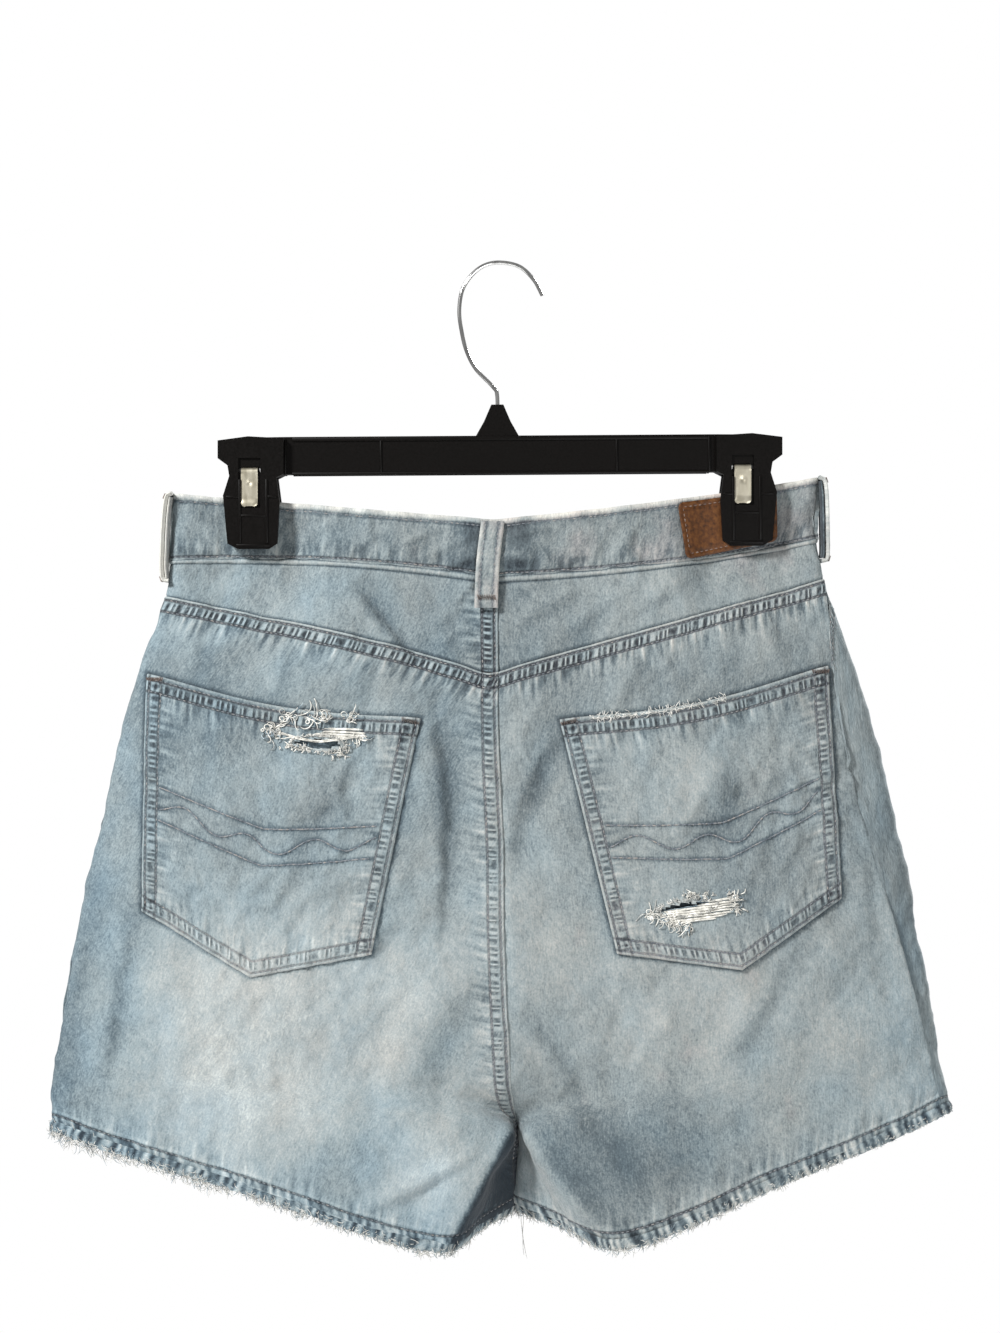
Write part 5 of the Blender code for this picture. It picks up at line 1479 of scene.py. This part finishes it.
class SHORTS_OT_back_pockets(bpy.types.Operator):
    """Sew the back pockets, with their rips, the threads left across them and their bartacks"""
    bl_idname = "shorts.back_pockets"
    bl_label = "Back pockets"

    def execute(self, context):
        look = context.scene.shorts_look
        runs, rows, tacks, raw, shaded, indigo = [], [], [], [], [], []
        for pocket in POCKETS:
            piece, hole, rim = pocket_piece(pocket)
            fade = worn_and_shaded(piece.points, "back") + 0.3 * rim
            down = np.linspace(0, POCKET_DEPTH, fade.shape[0])[:, None]
            inner = np.minimum(piece.distances["left"], piece.distances["right"])
            # Dark lines along the plain stitching rows, partly indigo kept there and partly painted shade of their
            # furrows.
            for level, ripple in POCKET_ROWS:
                fade -= 0.24 * bump(down, POCKET_DEPTH * row_height(level, ripple, fade.shape[1]), 1.3) * ease(
                    inner, 9, 10)
            cloth("pocket_" + pocket.side, piece, look.cloth, denim(look), fade, "back_pocket_" + pocket.side,
                  hole, "back_panel_" + pocket.side)
            upright = (("bottom", 1.7), ("top", None))
            keep = {"left": upright, "right": upright, "bottom": (("left", None), ("right", None)),
                    "top": (("left", 1.7), ("right", 1.7))}
            # No stitches are left where a rip has torn them out.
            rip_x, rip_z = pocket.rip
            runs += [run for run in sew(piece, look.cloth, keep)
                     if abs(run[1][0] - rip_x) > 0.55 * pocket.rip_size[0] or abs(run[1][2] - rip_z) > 6]
            for level, ripple in POCKET_ROWS:
                rows += pocket_row(piece, level, ripple, look.cloth)
            find = near_surface(piece)
            # Bartacks lie along both ends of the mouth.
            for edge in ("left", "right"):
                line, facing = inset(piece, edge, 5.2)
                at = int(np.searchsorted(walked(line)[1:], 2.2))
                along = unit(np.cross(facing[at], line[at + 1] - line[at]))
                tacks.append(bartack(line[at] + facing[at] * 0.5 * look.cloth, along, facing[at], 10.5, 2.2, 0.5))
            random = np.random.default_rng(70 if pocket.side == "left" else 71)
            for clump in RIP_CLUMPS[pocket.side]:
                for number, run in enumerate(laid(clump_threads(random, clump), find, 0.5 * look.cloth)):
                    (raw, raw, shaded, raw, shaded, indigo)[number % 6].append(run)
            shaded += laid(rim_threads(random, pocket), find, 0.4 * look.cloth)
            for number, run in enumerate(laid(crossing_threads(random, pocket), find, 0.3 * look.cloth)):
                (indigo if number % 5 == 4 else raw).append(run)
            if pocket.side == "right":
                shaded += laid(mouth_threads(random, piece), find, 0.5 * look.cloth)
            else:
                raw += laid(cord_threads(), find, 0.5 * look.cloth)
        strands("pocket_stitching", runs, look.thread, slate_thread())
        strands("pocket_rows", rows, 1.3 * look.thread, slate_thread())
        strands("pocket_bartacks", tacks, TACK_THREAD, rust_thread())
        strands("rip_threads", raw, look.fray_thread, raw_thread(), taper=0.35)
        strands("rip_threads_dusty", shaded, 0.8 * look.fray_thread, shaded_thread(), taper=0.35)
        strands("rip_threads_blue", indigo, look.fray_thread, blue_thread(), taper=0.35)
        return {"FINISHED"}


FRAY_STEPS = 4
FRAY_BLUE = 0.28          # the share of blue warp among a hem's loose ends
# Ends that have worked loose from the right hem: x, heading, length, number, spread and bend.
LOOSE_ENDS = ((157, -1.4, 6, 9, 0.4, 0.25), (8, -1.5, 27, 2, 0.02, 0.03))


class SHORTS_OT_hems(bpy.types.Operator):
    """Grow the frayed edge under both hems out of loose warp and weft ends"""
    bl_idname = "shorts.hems"
    bl_label = "Frayed hems"

    def execute(self, context):
        look = context.scene.shorts_look
        for half in SIGN:
            random = np.random.default_rng(90 + SIGN[half])
            count = look.fray_count
            w = np.sort(random.uniform(0, 2, count))
            seats = surface(half, w, HEM)
            down = unit(seats - surface(half, w, HEM - 0.05))
            after, before = (surface(half, np.clip(w + step, 0, 2), HEM) for step in (0.004, -0.004))
            along = unit(after - before)
            out = unit(np.cross(down, along)) * SIGN[half]
            tuft = 0.5 + 0.5 * rumple(w * 60, 0, 4 + SIGN[half])
            self.turned_edge(look, half, down, out, w, seats)
            # Longest at the outer left, hardly more than fuzz at the outer right.
            reach = look.fray_length / MM * (0.5 + 0.22 * ease(-seats[:, 0], 90, 200)
                                             - 0.28 * ease(seats[:, 0], 60, 200))
            white, blue = [], []
            for k in range(count):
                length = reach[k] * (0.45 + 0.55 * tuft[k]) * random.uniform(0.5, 1.15)
                lean = random.normal(0, 0.7) + 0.5 * float(rumple(np.array(w[k] * 90), 0, 8))
                bend = random.normal(0, 0.35)
                # Every third end hangs outside the turned edge, and the others leave from under it.
                outside = k % 3 == 0
                start = random.uniform(0.5, 4.3) if outside else random.uniform(3.2, 4.4)
                point = seats[k] + out[k] * (random.uniform(1.3, 1.9) if outside else random.uniform(-0.7, 1.0)) + (
                    down[k] * start)
                run = [point]
                sway = 0.0
                for _ in range(FRAY_STEPS):
                    bend += random.normal(0, 0.18)
                    lean += bend
                    sway += random.normal(0, 0.5)
                    point = point + length / FRAY_STEPS * (down[k] * math.cos(lean) + along[k] * math.sin(lean)
                                                      + out[k] * 0.35 * math.sin(sway))
                    run.append(point)
                (blue if random.random() < FRAY_BLUE else white).append(np.array(run))
            if half == "right":
                white += self.loose_ends(random, seats, down)
            # The hems' white ends take the greyer copy: painted shade among the massed fringe.
            strands("frayed_hem_white_" + half, white, look.hem_thread, shaded_thread(), taper=0.5)
            strands("frayed_hem_blue_" + half, blue, look.hem_thread, blue_thread(), taper=0.5)
        return {"FINISHED"}

    def turned_edge(self, look, half, down, out, w, seats):
        """The folded edge below the hem's stitching: rolled, gathered and rubbed through."""
        at = np.linspace(0, 2, 640)
        line, fall, facing = (picked(at, w, part) for part in (seats, down, out))
        s = walked(line)
        depth = np.array([-1.6, -0.9, -0.2, 0.5, 1.2, 1.9, 2.6, 3.2, 3.7, 4.1, 4.3])[:, None]
        ragged = 1 + 0.10 * rumple(s / 5, 0, 14) + 0.08 * rumple(s / 1.3, 0, 15)
        drop = depth * np.where(depth > 0, ragged, 1.0)
        roll = 0.25 + 1.0 * np.sqrt(np.clip(1 - ((depth - 1.2) / 3.3) ** 2, 0, 1)) * ease(depth, -1.6, 0.2)
        roll = roll + 0.38 * rumple(s / 2.3 - depth / 3, -depth / 8, 17) * ease(depth, -1.6, 0.5)
        points = facing_out(line[None] + fall[None] * drop[..., None] + facing[None] * roll[..., None], half)
        piece = Piece(points, grid_normals(points), grid_distances(points), {})
        fade = 0.46 + puckers(s, -depth) + 0.16 * ease(depth, 1.5, 4.0) + 0.12 * rumple(s / 0.9, depth, 19)
        cloth("hem_edge_" + half, piece, 0.8, denim(look), facing_out(fade, half),
              "hem_fringe_" + half, rests_on="back_panel_" + half)

    def loose_ends(self, random, seats, down):
        """A tuft and one long thread that have worked loose from the right hem."""
        made = []
        for x, heading, length, count, spread, bend in LOOSE_ENDS:
            nearest = np.argmin(np.abs(seats[:, 0] - x) + np.clip(seats[:, 1], 0, None))
            start = seats[nearest] + 3.4 * down[nearest]
            for _ in range(count):
                run = curl(random, (start[0] + random.normal(0, 0.7), start[2]), heading + random.normal(0, spread),
                           length * random.uniform(0.7, 1.1), bend)
                made.append(np.column_stack([run[:, 0], np.full(len(run), start[1]), run[:, 1]]))
        return made


class SHORTS_OT_belt_loops(bpy.types.Operator):
    """Sew the five belt loops, each with two rows of stitching and a bartack at both ends, but the centre one only
    near its foot
    """
    bl_idname = "shorts.belt_loops"
    bl_label = "Belt loops"

    def execute(self, context):
        look = context.scene.shorts_look
        runs, tacks = [], []
        over = np.array([-0.5, -0.47, -0.42, -0.36, -0.27, -0.16, -0.05, 0.05, 0.16, 0.27, 0.36, 0.42, 0.47, 0.5])
        along = np.linspace(0, 1, 54)
        bulge = np.sin(math.pi * along) ** 0.7
        lift = 0.5 * BAND + 0.3 + 0.5 * LOOP_CLOTH + 0.15 + 0.9 * bulge
        seams = {"left": LOOP_EDGE, "right": LOOP_EDGE}

        def make(name, points, node, fade=0.62, thick=LOOP_CLOTH):
            """One loop: pale along its edges and dark along its stitching, partly indigo kept there and partly painted
            shade of the furrow.
            """
            piece = shaped(points, seams, 15, crumple=0.25, creases=False)
            inner = np.minimum(piece.distances["left"], piece.distances["right"])
            shade = (fade + 0.12 * rumple(piece.distances["top"] / 7, piece.distances["left"] / 3, 3)
                     - 0.26 * bump(inner, 2.7, 0.9) + 0.07 * bump(inner, 0.6, 1.0) - 0.05 * ease(inner, 3.4, 4.4))
            cloth(name, piece, thick, denim(look), shade, node, rests_on="waistband_back",
                  hue=-1.2 if name == "belt_loop_centre" else -0.8)
            if name.startswith("belt_loop_lining"):
                return
            runs.extend(sew(piece, thick))
            for share in (0.935,) if name == "belt_loop_centre" else (0.05, 0.95):
                row = int(share * (len(piece.points) - 1))
                line, facing = piece.points[row], piece.normals[row]
                middle = len(line) // 2
                way = unit(line[-1] - line[0])
                centre = 0.5 * (line[middle - 1] + line[middle]) + facing[middle] * 0.5 * thick
                tacks.append(bartack(centre, way, facing[middle], 10.0, 2.8))

        centre = surface("left", np.zeros(len(along)), mix(0.02, 1.34, along))
        strip = np.stack([centre + [side * LOOP_WIDTH, 0, 0] for side in over], axis=1)
        strip[..., 1] -= lift[:, None] + 0.2
        strip[..., 0] -= along[:, None] * LOOP_LEAN
        make("belt_loop_centre", strip, "loop_centre", fade=0.57)
        for half in SIGN:
            # Edge-on from behind: the outer layer stands off the band, the inner one all but lies on it, and
            # both ends turn in to the cloth.
            edge = surface(half, np.ones(len(along)), mix(-0.02, 1.56, along))
            stand = 2.9 * np.clip(np.sin(math.pi * along), 0, 1) ** 0.22 - 1.3
            depth = over * LOOP_WIDTH - 1
            # Their tones are painted light and shade: the left loop, towards the light, is paler than the right, and
            # the right one's lining, in the shaded gap behind the loop, is almost indigo.
            for name, node, off, close, part, thick, tone in (
                    ("belt_loop_side_", "loop_side_", 1.15, 0.0, slice(None), 2.3, 0.93 if half == "left" else 0.7),
                    ("belt_loop_lining_", None, -0.95, 1.1, slice(2, -3), 0.9, 0.85 if half == "left" else 0.1)):
                strip = np.stack([edge + [0, y, 0] for y in depth], axis=1)
                strip[..., 0] += SIGN[half] * ((0.5 * BAND + stand + off * ease(stand, -1.3, 1.0))[:, None]
                                               - close * ease(depth, -6, 0)[None] + 0.9 * bulge[:, None])
                make(name + half, facing_out(strip[part], half), node and node + half, tone, thick)
            w, t = np.meshgrid(FRONT_LOOP_W + 0.056 * over, mix(0.02, 1.4, along))
            strip = surface(half, w, t)
            strip[..., 1] += lift[:, None]
            make("belt_loop_front_" + half, facing_out(strip, half), "loop_front_" + half)
        strands("belt_loop_stitching", runs, look.thread, slate_thread())
        strands("belt_loop_bartacks", tacks, TACK_THREAD, rust_thread())
        return {"FINISHED"}


class SHORTS_OT_patch(bpy.types.Operator):
    """Cut the bare leather patch with its rounded corners and tonal stitching"""
    bl_idname = "shorts.patch"
    bl_label = "Leather patch"

    def execute(self, context):
        look = context.scene.shorts_look
        wide, high = PATCH_SIZE
        over, down = shares(wide, 0.9)[None, :, None], shares(high, 0.9)[:, None, None]
        top_left, top_right, bottom_right, bottom_left = (np.array(corner, float) for corner in PATCH)
        flat = mix(mix(top_left, top_right, over), mix(bottom_left, bottom_right, over), down)
        # Each corner's square is drawn in to a quarter circle.
        way = unit(top_right - top_left)
        u, v = over[..., 0] * wide + 0 * down[..., 0], down[..., 0] * high + 0 * over[..., 0]
        for from_left in (True, False):
            for from_top in (True, False):
                a = PATCH_CORNER - (u if from_left else wide - u)
                b = PATCH_CORNER - (v if from_top else high - v)
                corner = (a > 0) & (b > 0)
                squeeze = np.where(corner, np.maximum(a, b) / np.maximum(np.hypot(a, b), 1e-6), 1.0)
                pull_x = np.where(corner, a * (1 - squeeze), 0) * (1 if from_left else -1)
                pull_z = np.where(corner, b * (1 - squeeze), 0) * (-1 if from_top else 1)
                flat = flat + pull_x[..., None] * way + pull_z[..., None] * np.array([-way[1], way[0]])
        w, t = locate("right", flat[..., 0], flat[..., 1])
        seams = {name: PATCH_EDGE for name in ("top", "bottom", "left", "right")}
        piece = shaped(surface("right", w, t), seams, 17, lift=0.5 * BAND + 0.3 + 0.5 * LEATHER + 0.25,
                       crumple=0.35, creases=False)
        cloth("patch_leather", piece, LEATHER, leather(), np.zeros(piece.points.shape[:2]), "leather_patch",
              rests_on="waistband_back", slot_name="leather")
        keep = {name: tuple((other, None) for other in seams if other not in (name, OPPOSITE[name]))
                for name in seams}
        strands("patch_stitching", sew(piece, LEATHER, keep), look.thread, rust_thread())
        return {"FINISHED"}


class SHORTS_OT_fly(bpy.types.Operator):
    """Sew the fly's placket and set the domed button over it"""
    bl_idname = "shorts.fly"
    bl_label = "Fly and button"

    def execute(self, context):
        look = context.scene.shorts_look
        t = heights("left", 1.9, 1.05, FLY_END, MEDIUM)[:, None]
        width = FLY_WIDTH * np.sqrt(1 - np.clip((t - (FLY_END - 1.3)) / 1.42, 0, 1) ** 2)
        run = 0.5 / np.linalg.norm(surface("left", 1.5 + 0 * t, t) - surface("left", 2.0 + 0 * t, t), axis=-1)
        share = mix(0.02, 1.0, shares(FLY_WIDTH, MEDIUM))[None, :]
        w = 2 - width * run * share
        points = surface("left", w, np.broadcast_to(t, w.shape))
        piece = shaped(points, {"right": FLY_SEAM, "bottom": SIDE_EDGE}, 19, "front", lift=DENIM + 0.45, crumple=0.5,
                       creases=False)
        cloth("fly_cloth", piece, look.cloth, denim(look), worn_and_shaded(piece.points, "front"), "fly_placket",
              rests_on="front_panel_left")
        runs = sew(piece, look.cloth, {"right": (("bottom", 2.0),)})
        strands("fly_stitching", runs, look.thread, slate_thread())
        low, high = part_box("waist_button")
        centre = ((low[0] + high[0]) / 2, low[1] - 0.35 * MM, (low[2] + high[2]) / 2)
        turned = bmesh.new()
        verts = [turned.verts.new((radius * MM, 0, height * MM)) for radius, height in BUTTON_PROFILE]
        edges = [turned.edges.new(pair) for pair in zip(verts, verts[1:])]
        bmesh.ops.spin(turned, geom=verts + edges, cent=(0, 0, 0), axis=(0, 0, 1), angle=2 * math.pi, steps=48,
                       use_merge=True)
        bmesh.ops.remove_doubles(turned, verts=turned.verts, dist=1e-6)
        bmesh.ops.recalc_face_normals(turned, faces=turned.faces)
        turn = Matrix.Translation(centre) @ Matrix.Rotation(-math.pi / 2, 4, "X")
        bmesh.ops.transform(turned, matrix=turn, verts=turned.verts)
        mesh = mesh_from("shank_button", turned)
        mesh.shade_smooth()
        finish_piece("shank_button", mesh, "waist_button", brass())
        return {"FINISHED"}


HANGER_LEAN = 0.0064      # rise for each mm to the right
CLIP_Y = 10.2             # from the middle out to a jaw's face
BAR_Y = 5.5               # and to the bar's
BAR_RIB = 0.8             # how proud the bar's ribs stand
RIB_ROOT = 0.3            # how far every rib runs into the plastic
RIB_BEVEL = 0.25
HOOK_WIRE = 2.3
HOOK = ((24, -17.5), (19, -8.5), (11, -1.2), (0, 1.15), (-9, -0.6), (-16.2, -6.2), (-21.3, -14.6), (-23, -26),
        (-21.8, -37), (-19, -48.5), (-13.6, -59), (-4, -69), (-1.6, -74), (-1.5, -90))
SPRING_X = {"left": (-2.4, 6.8), "right": (-6.8, 2.4)}
SPRING_Z = (-136, -114.2)
SPRING_STEEL = 0.9
SPRING_DIMPLE_Z = -122.8
SPRING_LIP_Z = (-132.0, -134.8)
# Raised mouldings on the bar's face: x range and z range.
BAR_RIBS = (
    ((-117, 117), (-99.6, -97.4)), ((-117, 117), (-118.6, -117.2)),
    ((-121.6, -120.4), (-118.4, -98)), ((-67.6, -66.6), (-117.4, -99.4)), ((65.2, 66.2), (-117.4, -99.4)),
    ((117.2, 118.4), (-118.4, -98)),
)
# Mouldings on a jaw's face, x outwards from its clip's middle: x range, z range, how proud.
JAW_RIBS = (
    ((-8.2, -6.9), (-156.8, -121), 0.7), ((6.9, 8.2), (-156.8, -121), 0.7),
    ((-13.2, -8.0), (-131.4, -130.2), 0.6), ((8.0, 15.2), (-131.4, -130.2), 0.6),
    ((-6.9, 6.9), (-142.0, -140.8), 0.5),
    ((-9.4, 9.4), (-158.9, -157.3), 0.5),
)


def leaned(x, z):
    """The height of a place on the hanger, which hangs a little askew."""
    return z + HANGER_LEAN * x


class SHORTS_OT_hanger(bpy.types.Operator):
    """Finish the hanger: ribs on its moulded bar and jaws, bent springs and the wire hook"""
    bl_idname = "shorts.hanger"
    bl_label = "Clip hanger"

    def execute(self, context):
        for name in ("hanger_bar", "clip_jaw_left", "clip_jaw_right"):
            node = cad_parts[name]
            node.data.materials.clear()
            node.data.materials.append(abs_plastic())
        ribs = bmesh.new()

        def rib(*ranges):
            made = bmesh.ops.create_cube(ribs, size=1)["verts"]
            size = [high - low for low, high in ranges]
            middle = [0.5 * (low + high) for low, high in ranges]
            bmesh.ops.scale(ribs, vec=[length * MM for length in size], verts=made)
            bmesh.ops.translate(ribs, vec=(middle[0] * MM, middle[1] * MM, leaned(middle[0], middle[2]) * MM),
                                verts=made)
            for vert in made:
                vert.co.z += HANGER_LEAN * (vert.co.x - middle[0] * MM)

        for face in (-1, 1):
            for x_range, z_range in BAR_RIBS:
                rib(x_range, sorted((face * (BAR_Y - RIB_ROOT), face * (BAR_Y + BAR_RIB))), z_range)
            for sign in (-1, 1):
                for (near, far), z_range, proud in JAW_RIBS:
                    x_range = sorted((sign * (CLIP_X + near), sign * (CLIP_X + far)))
                    rib(x_range, sorted((face * (CLIP_Y - RIB_ROOT), face * (CLIP_Y + proud))), z_range)
        bmesh.ops.bevel(ribs, geom=ribs.edges[:], offset=RIB_BEVEL * MM, segments=2, profile=0.5, affect="EDGES",
                        material=-1)
        mesh = mesh_from("hanger_mouldings", ribs)
        mesh.shade_smooth()
        mesh.set_sharp_from_angle(angle=math.radians(40))
        finish_piece("hanger_mouldings", mesh, None, abs_plastic())
        self.springs()
        self.hook()
        return {"FINISHED"}

    def springs(self):
        """Bend a steel strip over each clip, with round corners at its ends, a dimple and a lip."""
        inner, bend, round_end = CLIP_Y - 0.5, 2.2, 1.9
        bottom, top = SPRING_Z[0], SPRING_Z[1] - 0.5
        turn = np.linspace(0, math.pi / 2, 9)
        leg = np.concatenate([bottom + np.array([0, 0.12, 0.35, 0.7, 1.1, 1.5]),
                              np.linspace(bottom + 2, top - bend, 26)])
        near = np.concatenate([
            np.column_stack([np.full(len(leg), -inner), leg]),
            np.column_stack([-inner + bend - bend * np.cos(turn[1:]), top - bend + bend * np.sin(turn[1:])]),
        ])
        path = np.concatenate([near, near[::-1] * [-1, 1]])
        across_strip = np.linspace(0, 1, 14)
        for half, sign in SIGN.items():
            x = sign * (CLIP_X + mix(*SPRING_X[half], across_strip))
            if sign < 0:
                x = x[::-1]
            points = np.empty((len(path), len(x), 3))
            points[..., 0] = x
            points[..., 1] = path[:, :1]
            points[..., 2] = path[:, 1:] + leaned(x, 0)
            side = np.where(path[:, :1] < 0, -1, 1)
            middle = sign * (CLIP_X + 0.5 * sum(SPRING_X[half]))
            z = path[:, 1:]
            short = np.clip(round_end - (z - bottom), 0, round_end)
            points[..., 0] = middle + (points[..., 0] - middle) * (
                1 - (round_end - np.sqrt(round_end ** 2 - short ** 2)) / 4.6)
            dimple = 0.55 * bump(points[..., 0], middle, 1.3) * bump(z, SPRING_DIMPLE_Z, 1.5)
            lip = -0.5 * ease(z, *SPRING_LIP_Z) * np.ones_like(points[..., 0])
            edge = 0.25 * (np.abs(2 * across_strip - 1) ** 6)[None, :] * np.ones_like(z)
            points[..., 1] -= side * np.where(z < top - 2.5, dimple + edge + lip, 0)
            name = "bent_spring_" + half
            thickened(finish_piece(name, grid_mesh(name, points[::-1]), "clip_spring_" + half, spring_steel()), SPRING_STEEL)

    def hook(self):
        """Bend the hook from one round wire."""
        points = np.array([(x, 0, z) for x, z in HOOK], float)
        at = np.linspace(0, len(points) - 1, 9 * (len(points) - 1) + 1)
        line = through(points, at)
        wire = strands("bent_hook_wire", [line], 0.5 * HOOK_WIRE, hook_wire(), sides=5)
        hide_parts("hanger_hook")


# Soft boxes, in metres: place and size. Each one's power is a setting.
LAMPS = (("key", (-1.45, -1.25, 1.0), 0.4), ("fill", (0.9, -1.7, -1.0), 1.2), ("rear", (1.45, 1.3, 1.0), 0.45))
LAMP_AIM = (0, 0, -0.3)
LENS = 114.75             # in mm, as is the sensor's width
SENSOR = 36
CAMERA_PLACE = (0, -1.8, -0.227)
FLOOR_RADIUS = 1.5
FLOOR_Z = -1.2


class SHORTS_OT_stage(bpy.types.Operator):
    """Set the pale floor, the soft studio lights and the camera"""
    bl_idname = "shorts.stage"
    bl_label = "Stage"

    def execute(self, context):
        look = context.scene.shorts_look
        scene = context.scene
        disc = bmesh.new()
        bmesh.ops.create_circle(disc, cap_ends=True, segments=96, radius=FLOOR_RADIUS)
        bmesh.ops.translate(disc, vec=(0, 0, FLOOR_Z), verts=disc.verts)
        mesh = mesh_from("pale_floor", disc)
        # Matt white paint: no gloss, a plain ground for the views from above.
        mesh.materials.append(new_material("matt white paint", {"Base Color": (0.75, 0.75, 0.75, 1), "Roughness": 1.0,
                                                                "Specular IOR Level": 0.0})[0])
        floor = bpy.data.objects.new("pale_floor", mesh)
        scene.collection.objects.link(floor)

        # The studio is seen white all round, though it lights the object far more softly than the lamps do.
        world = bpy.data.worlds.new("studio")
        world.use_nodes = True
        tree = world.node_tree
        seen = add(tree, "ShaderNodeLightPath").outputs["Is Camera Ray"]
        strength = add(tree, "ShaderNodeMapRange", {"Value": seen, "To Min": look.ambient, "To Max": look.backdrop})
        tree.nodes["Background"].inputs["Color"].default_value = (1, 1, 1, 1)
        tree.links.new(strength.outputs[0], tree.nodes["Background"].inputs["Strength"])
        scene.world = world
        for name, spot, size in LAMPS:
            light = bpy.data.lights.new(name, "AREA")
            light.size = size
            light.energy = getattr(look, name + "_power")
            lamp = bpy.data.objects.new(name, light)
            lamp.location = spot
            lamp.rotation_euler = (Vector(LAMP_AIM) - Vector(spot)).to_track_quat("-Z", "Y").to_euler()
            scene.collection.objects.link(lamp)

        camera = bpy.data.cameras.new("camera")
        camera.lens = LENS
        camera.sensor_width = SENSOR
        camera.sensor_fit = "HORIZONTAL"
        stand = bpy.data.objects.new("camera", camera)
        stand.location = CAMERA_PLACE
        stand.rotation_euler = (math.pi / 2, 0, 0)
        scene.collection.objects.link(stand)
        scene.camera = stand
        scene.view_settings.view_transform = "Standard"
        return {"FINISHED"}


class ShortsLook(bpy.types.PropertyGroup):
    indigo: bpy.props.FloatVectorProperty(
        name="Indigo", description="Unfaded denim, in furrows", subtype="COLOR", default=linear("#262e35"))
    dark_blue: bpy.props.FloatVectorProperty(
        name="Dark blue", description="Denim between the two rows of a seam", subtype="COLOR",
        default=linear("#4e5a61"))
    mid_blue: bpy.props.FloatVectorProperty(
        name="Mid blue", description="Denim that was washed but not rubbed", subtype="COLOR",
        default=linear("#7b868a"))
    pale_blue: bpy.props.FloatVectorProperty(
        name="Pale blue", description="Denim rubbed pale", subtype="COLOR", default=linear("#979d9e"))
    weft: bpy.props.FloatVectorProperty(
        name="Weft white", description="Where only white weft is left", subtype="COLOR",
        default=linear("#b9bdbb"))
    cloth: bpy.props.FloatProperty(name="Denim thickness", description="One layer, in mm", default=1.1)
    band: bpy.props.FloatProperty(name="Waistband thickness", description="Both layers, in mm", default=2.2)
    thread: bpy.props.FloatProperty(name="Stitch thread radius", description="In mm", default=0.30)
    fray_thread: bpy.props.FloatProperty(name="Loose thread radius", description="At the rips, in mm", default=0.29)
    hem_thread: bpy.props.FloatProperty(name="Hem fray radius", description="In mm", default=0.17)
    fray_length: bpy.props.FloatProperty(name="Fray length", description="Longest ends", default=0.013,
                                         unit="LENGTH")
    fray_count: bpy.props.IntProperty(name="Fray ends", description="Loose ends on each hem", default=2800)
    backdrop: bpy.props.FloatProperty(name="Backdrop", description="How bright the studio is seen", default=1.0)
    ambient: bpy.props.FloatProperty(name="Ambient", description="Light from all round", default=0.26)
    key_power: bpy.props.FloatProperty(name="Key light", description="Upper left soft box", default=99.0, unit="POWER")
    rear_power: bpy.props.FloatProperty(name="Rear light", description="Soft box behind", default=90.0, unit="POWER")
    fill_power: bpy.props.FloatProperty(name="Fill light", description="Low soft box in front", default=27.0,
                                        unit="POWER")


class SHORTS_PT_panel(bpy.types.Panel):
    """Every piece of the shorts and the hanger, in the order they are made"""
    bl_idname = "SHORTS_PT_panel"
    bl_label = "Shorts"
    bl_space_type = "VIEW_3D"
    bl_region_type = "UI"
    bl_category = "Shorts"

    def draw(self, context):
        for operator in OPERATORS:
            self.layout.operator(operator.bl_idname)
        for name in ShortsLook.__annotations__:
            self.layout.prop(context.scene.shorts_look, name)


OPERATORS = (SHORTS_OT_seat, SHORTS_OT_yokes, SHORTS_OT_waistband, SHORTS_OT_fronts, SHORTS_OT_back_pockets,
             SHORTS_OT_belt_loops, SHORTS_OT_patch, SHORTS_OT_fly, SHORTS_OT_hems, SHORTS_OT_hanger, SHORTS_OT_stage)
CLASSES = (ShortsLook,) + OPERATORS + (SHORTS_PT_panel,)


def register():
    for item in CLASSES:
        bpy.utils.register_class(item)
    bpy.types.Scene.shorts_look = bpy.props.PointerProperty(type=ShortsLook)


def unregister():
    del bpy.types.Scene.shorts_look
    for item in reversed(CLASSES):
        bpy.utils.unregister_class(item)


def main():
    register()
    bpy.ops.shorts.seat()
    bpy.ops.shorts.yokes()
    bpy.ops.shorts.waistband()
    bpy.ops.shorts.fronts()
    bpy.ops.shorts.back_pockets()
    bpy.ops.shorts.belt_loops()
    bpy.ops.shorts.patch()
    bpy.ops.shorts.fly()
    bpy.ops.shorts.hems()
    bpy.ops.shorts.hanger()
    bpy.ops.shorts.stage()


if __name__ == "__main__":
    main()
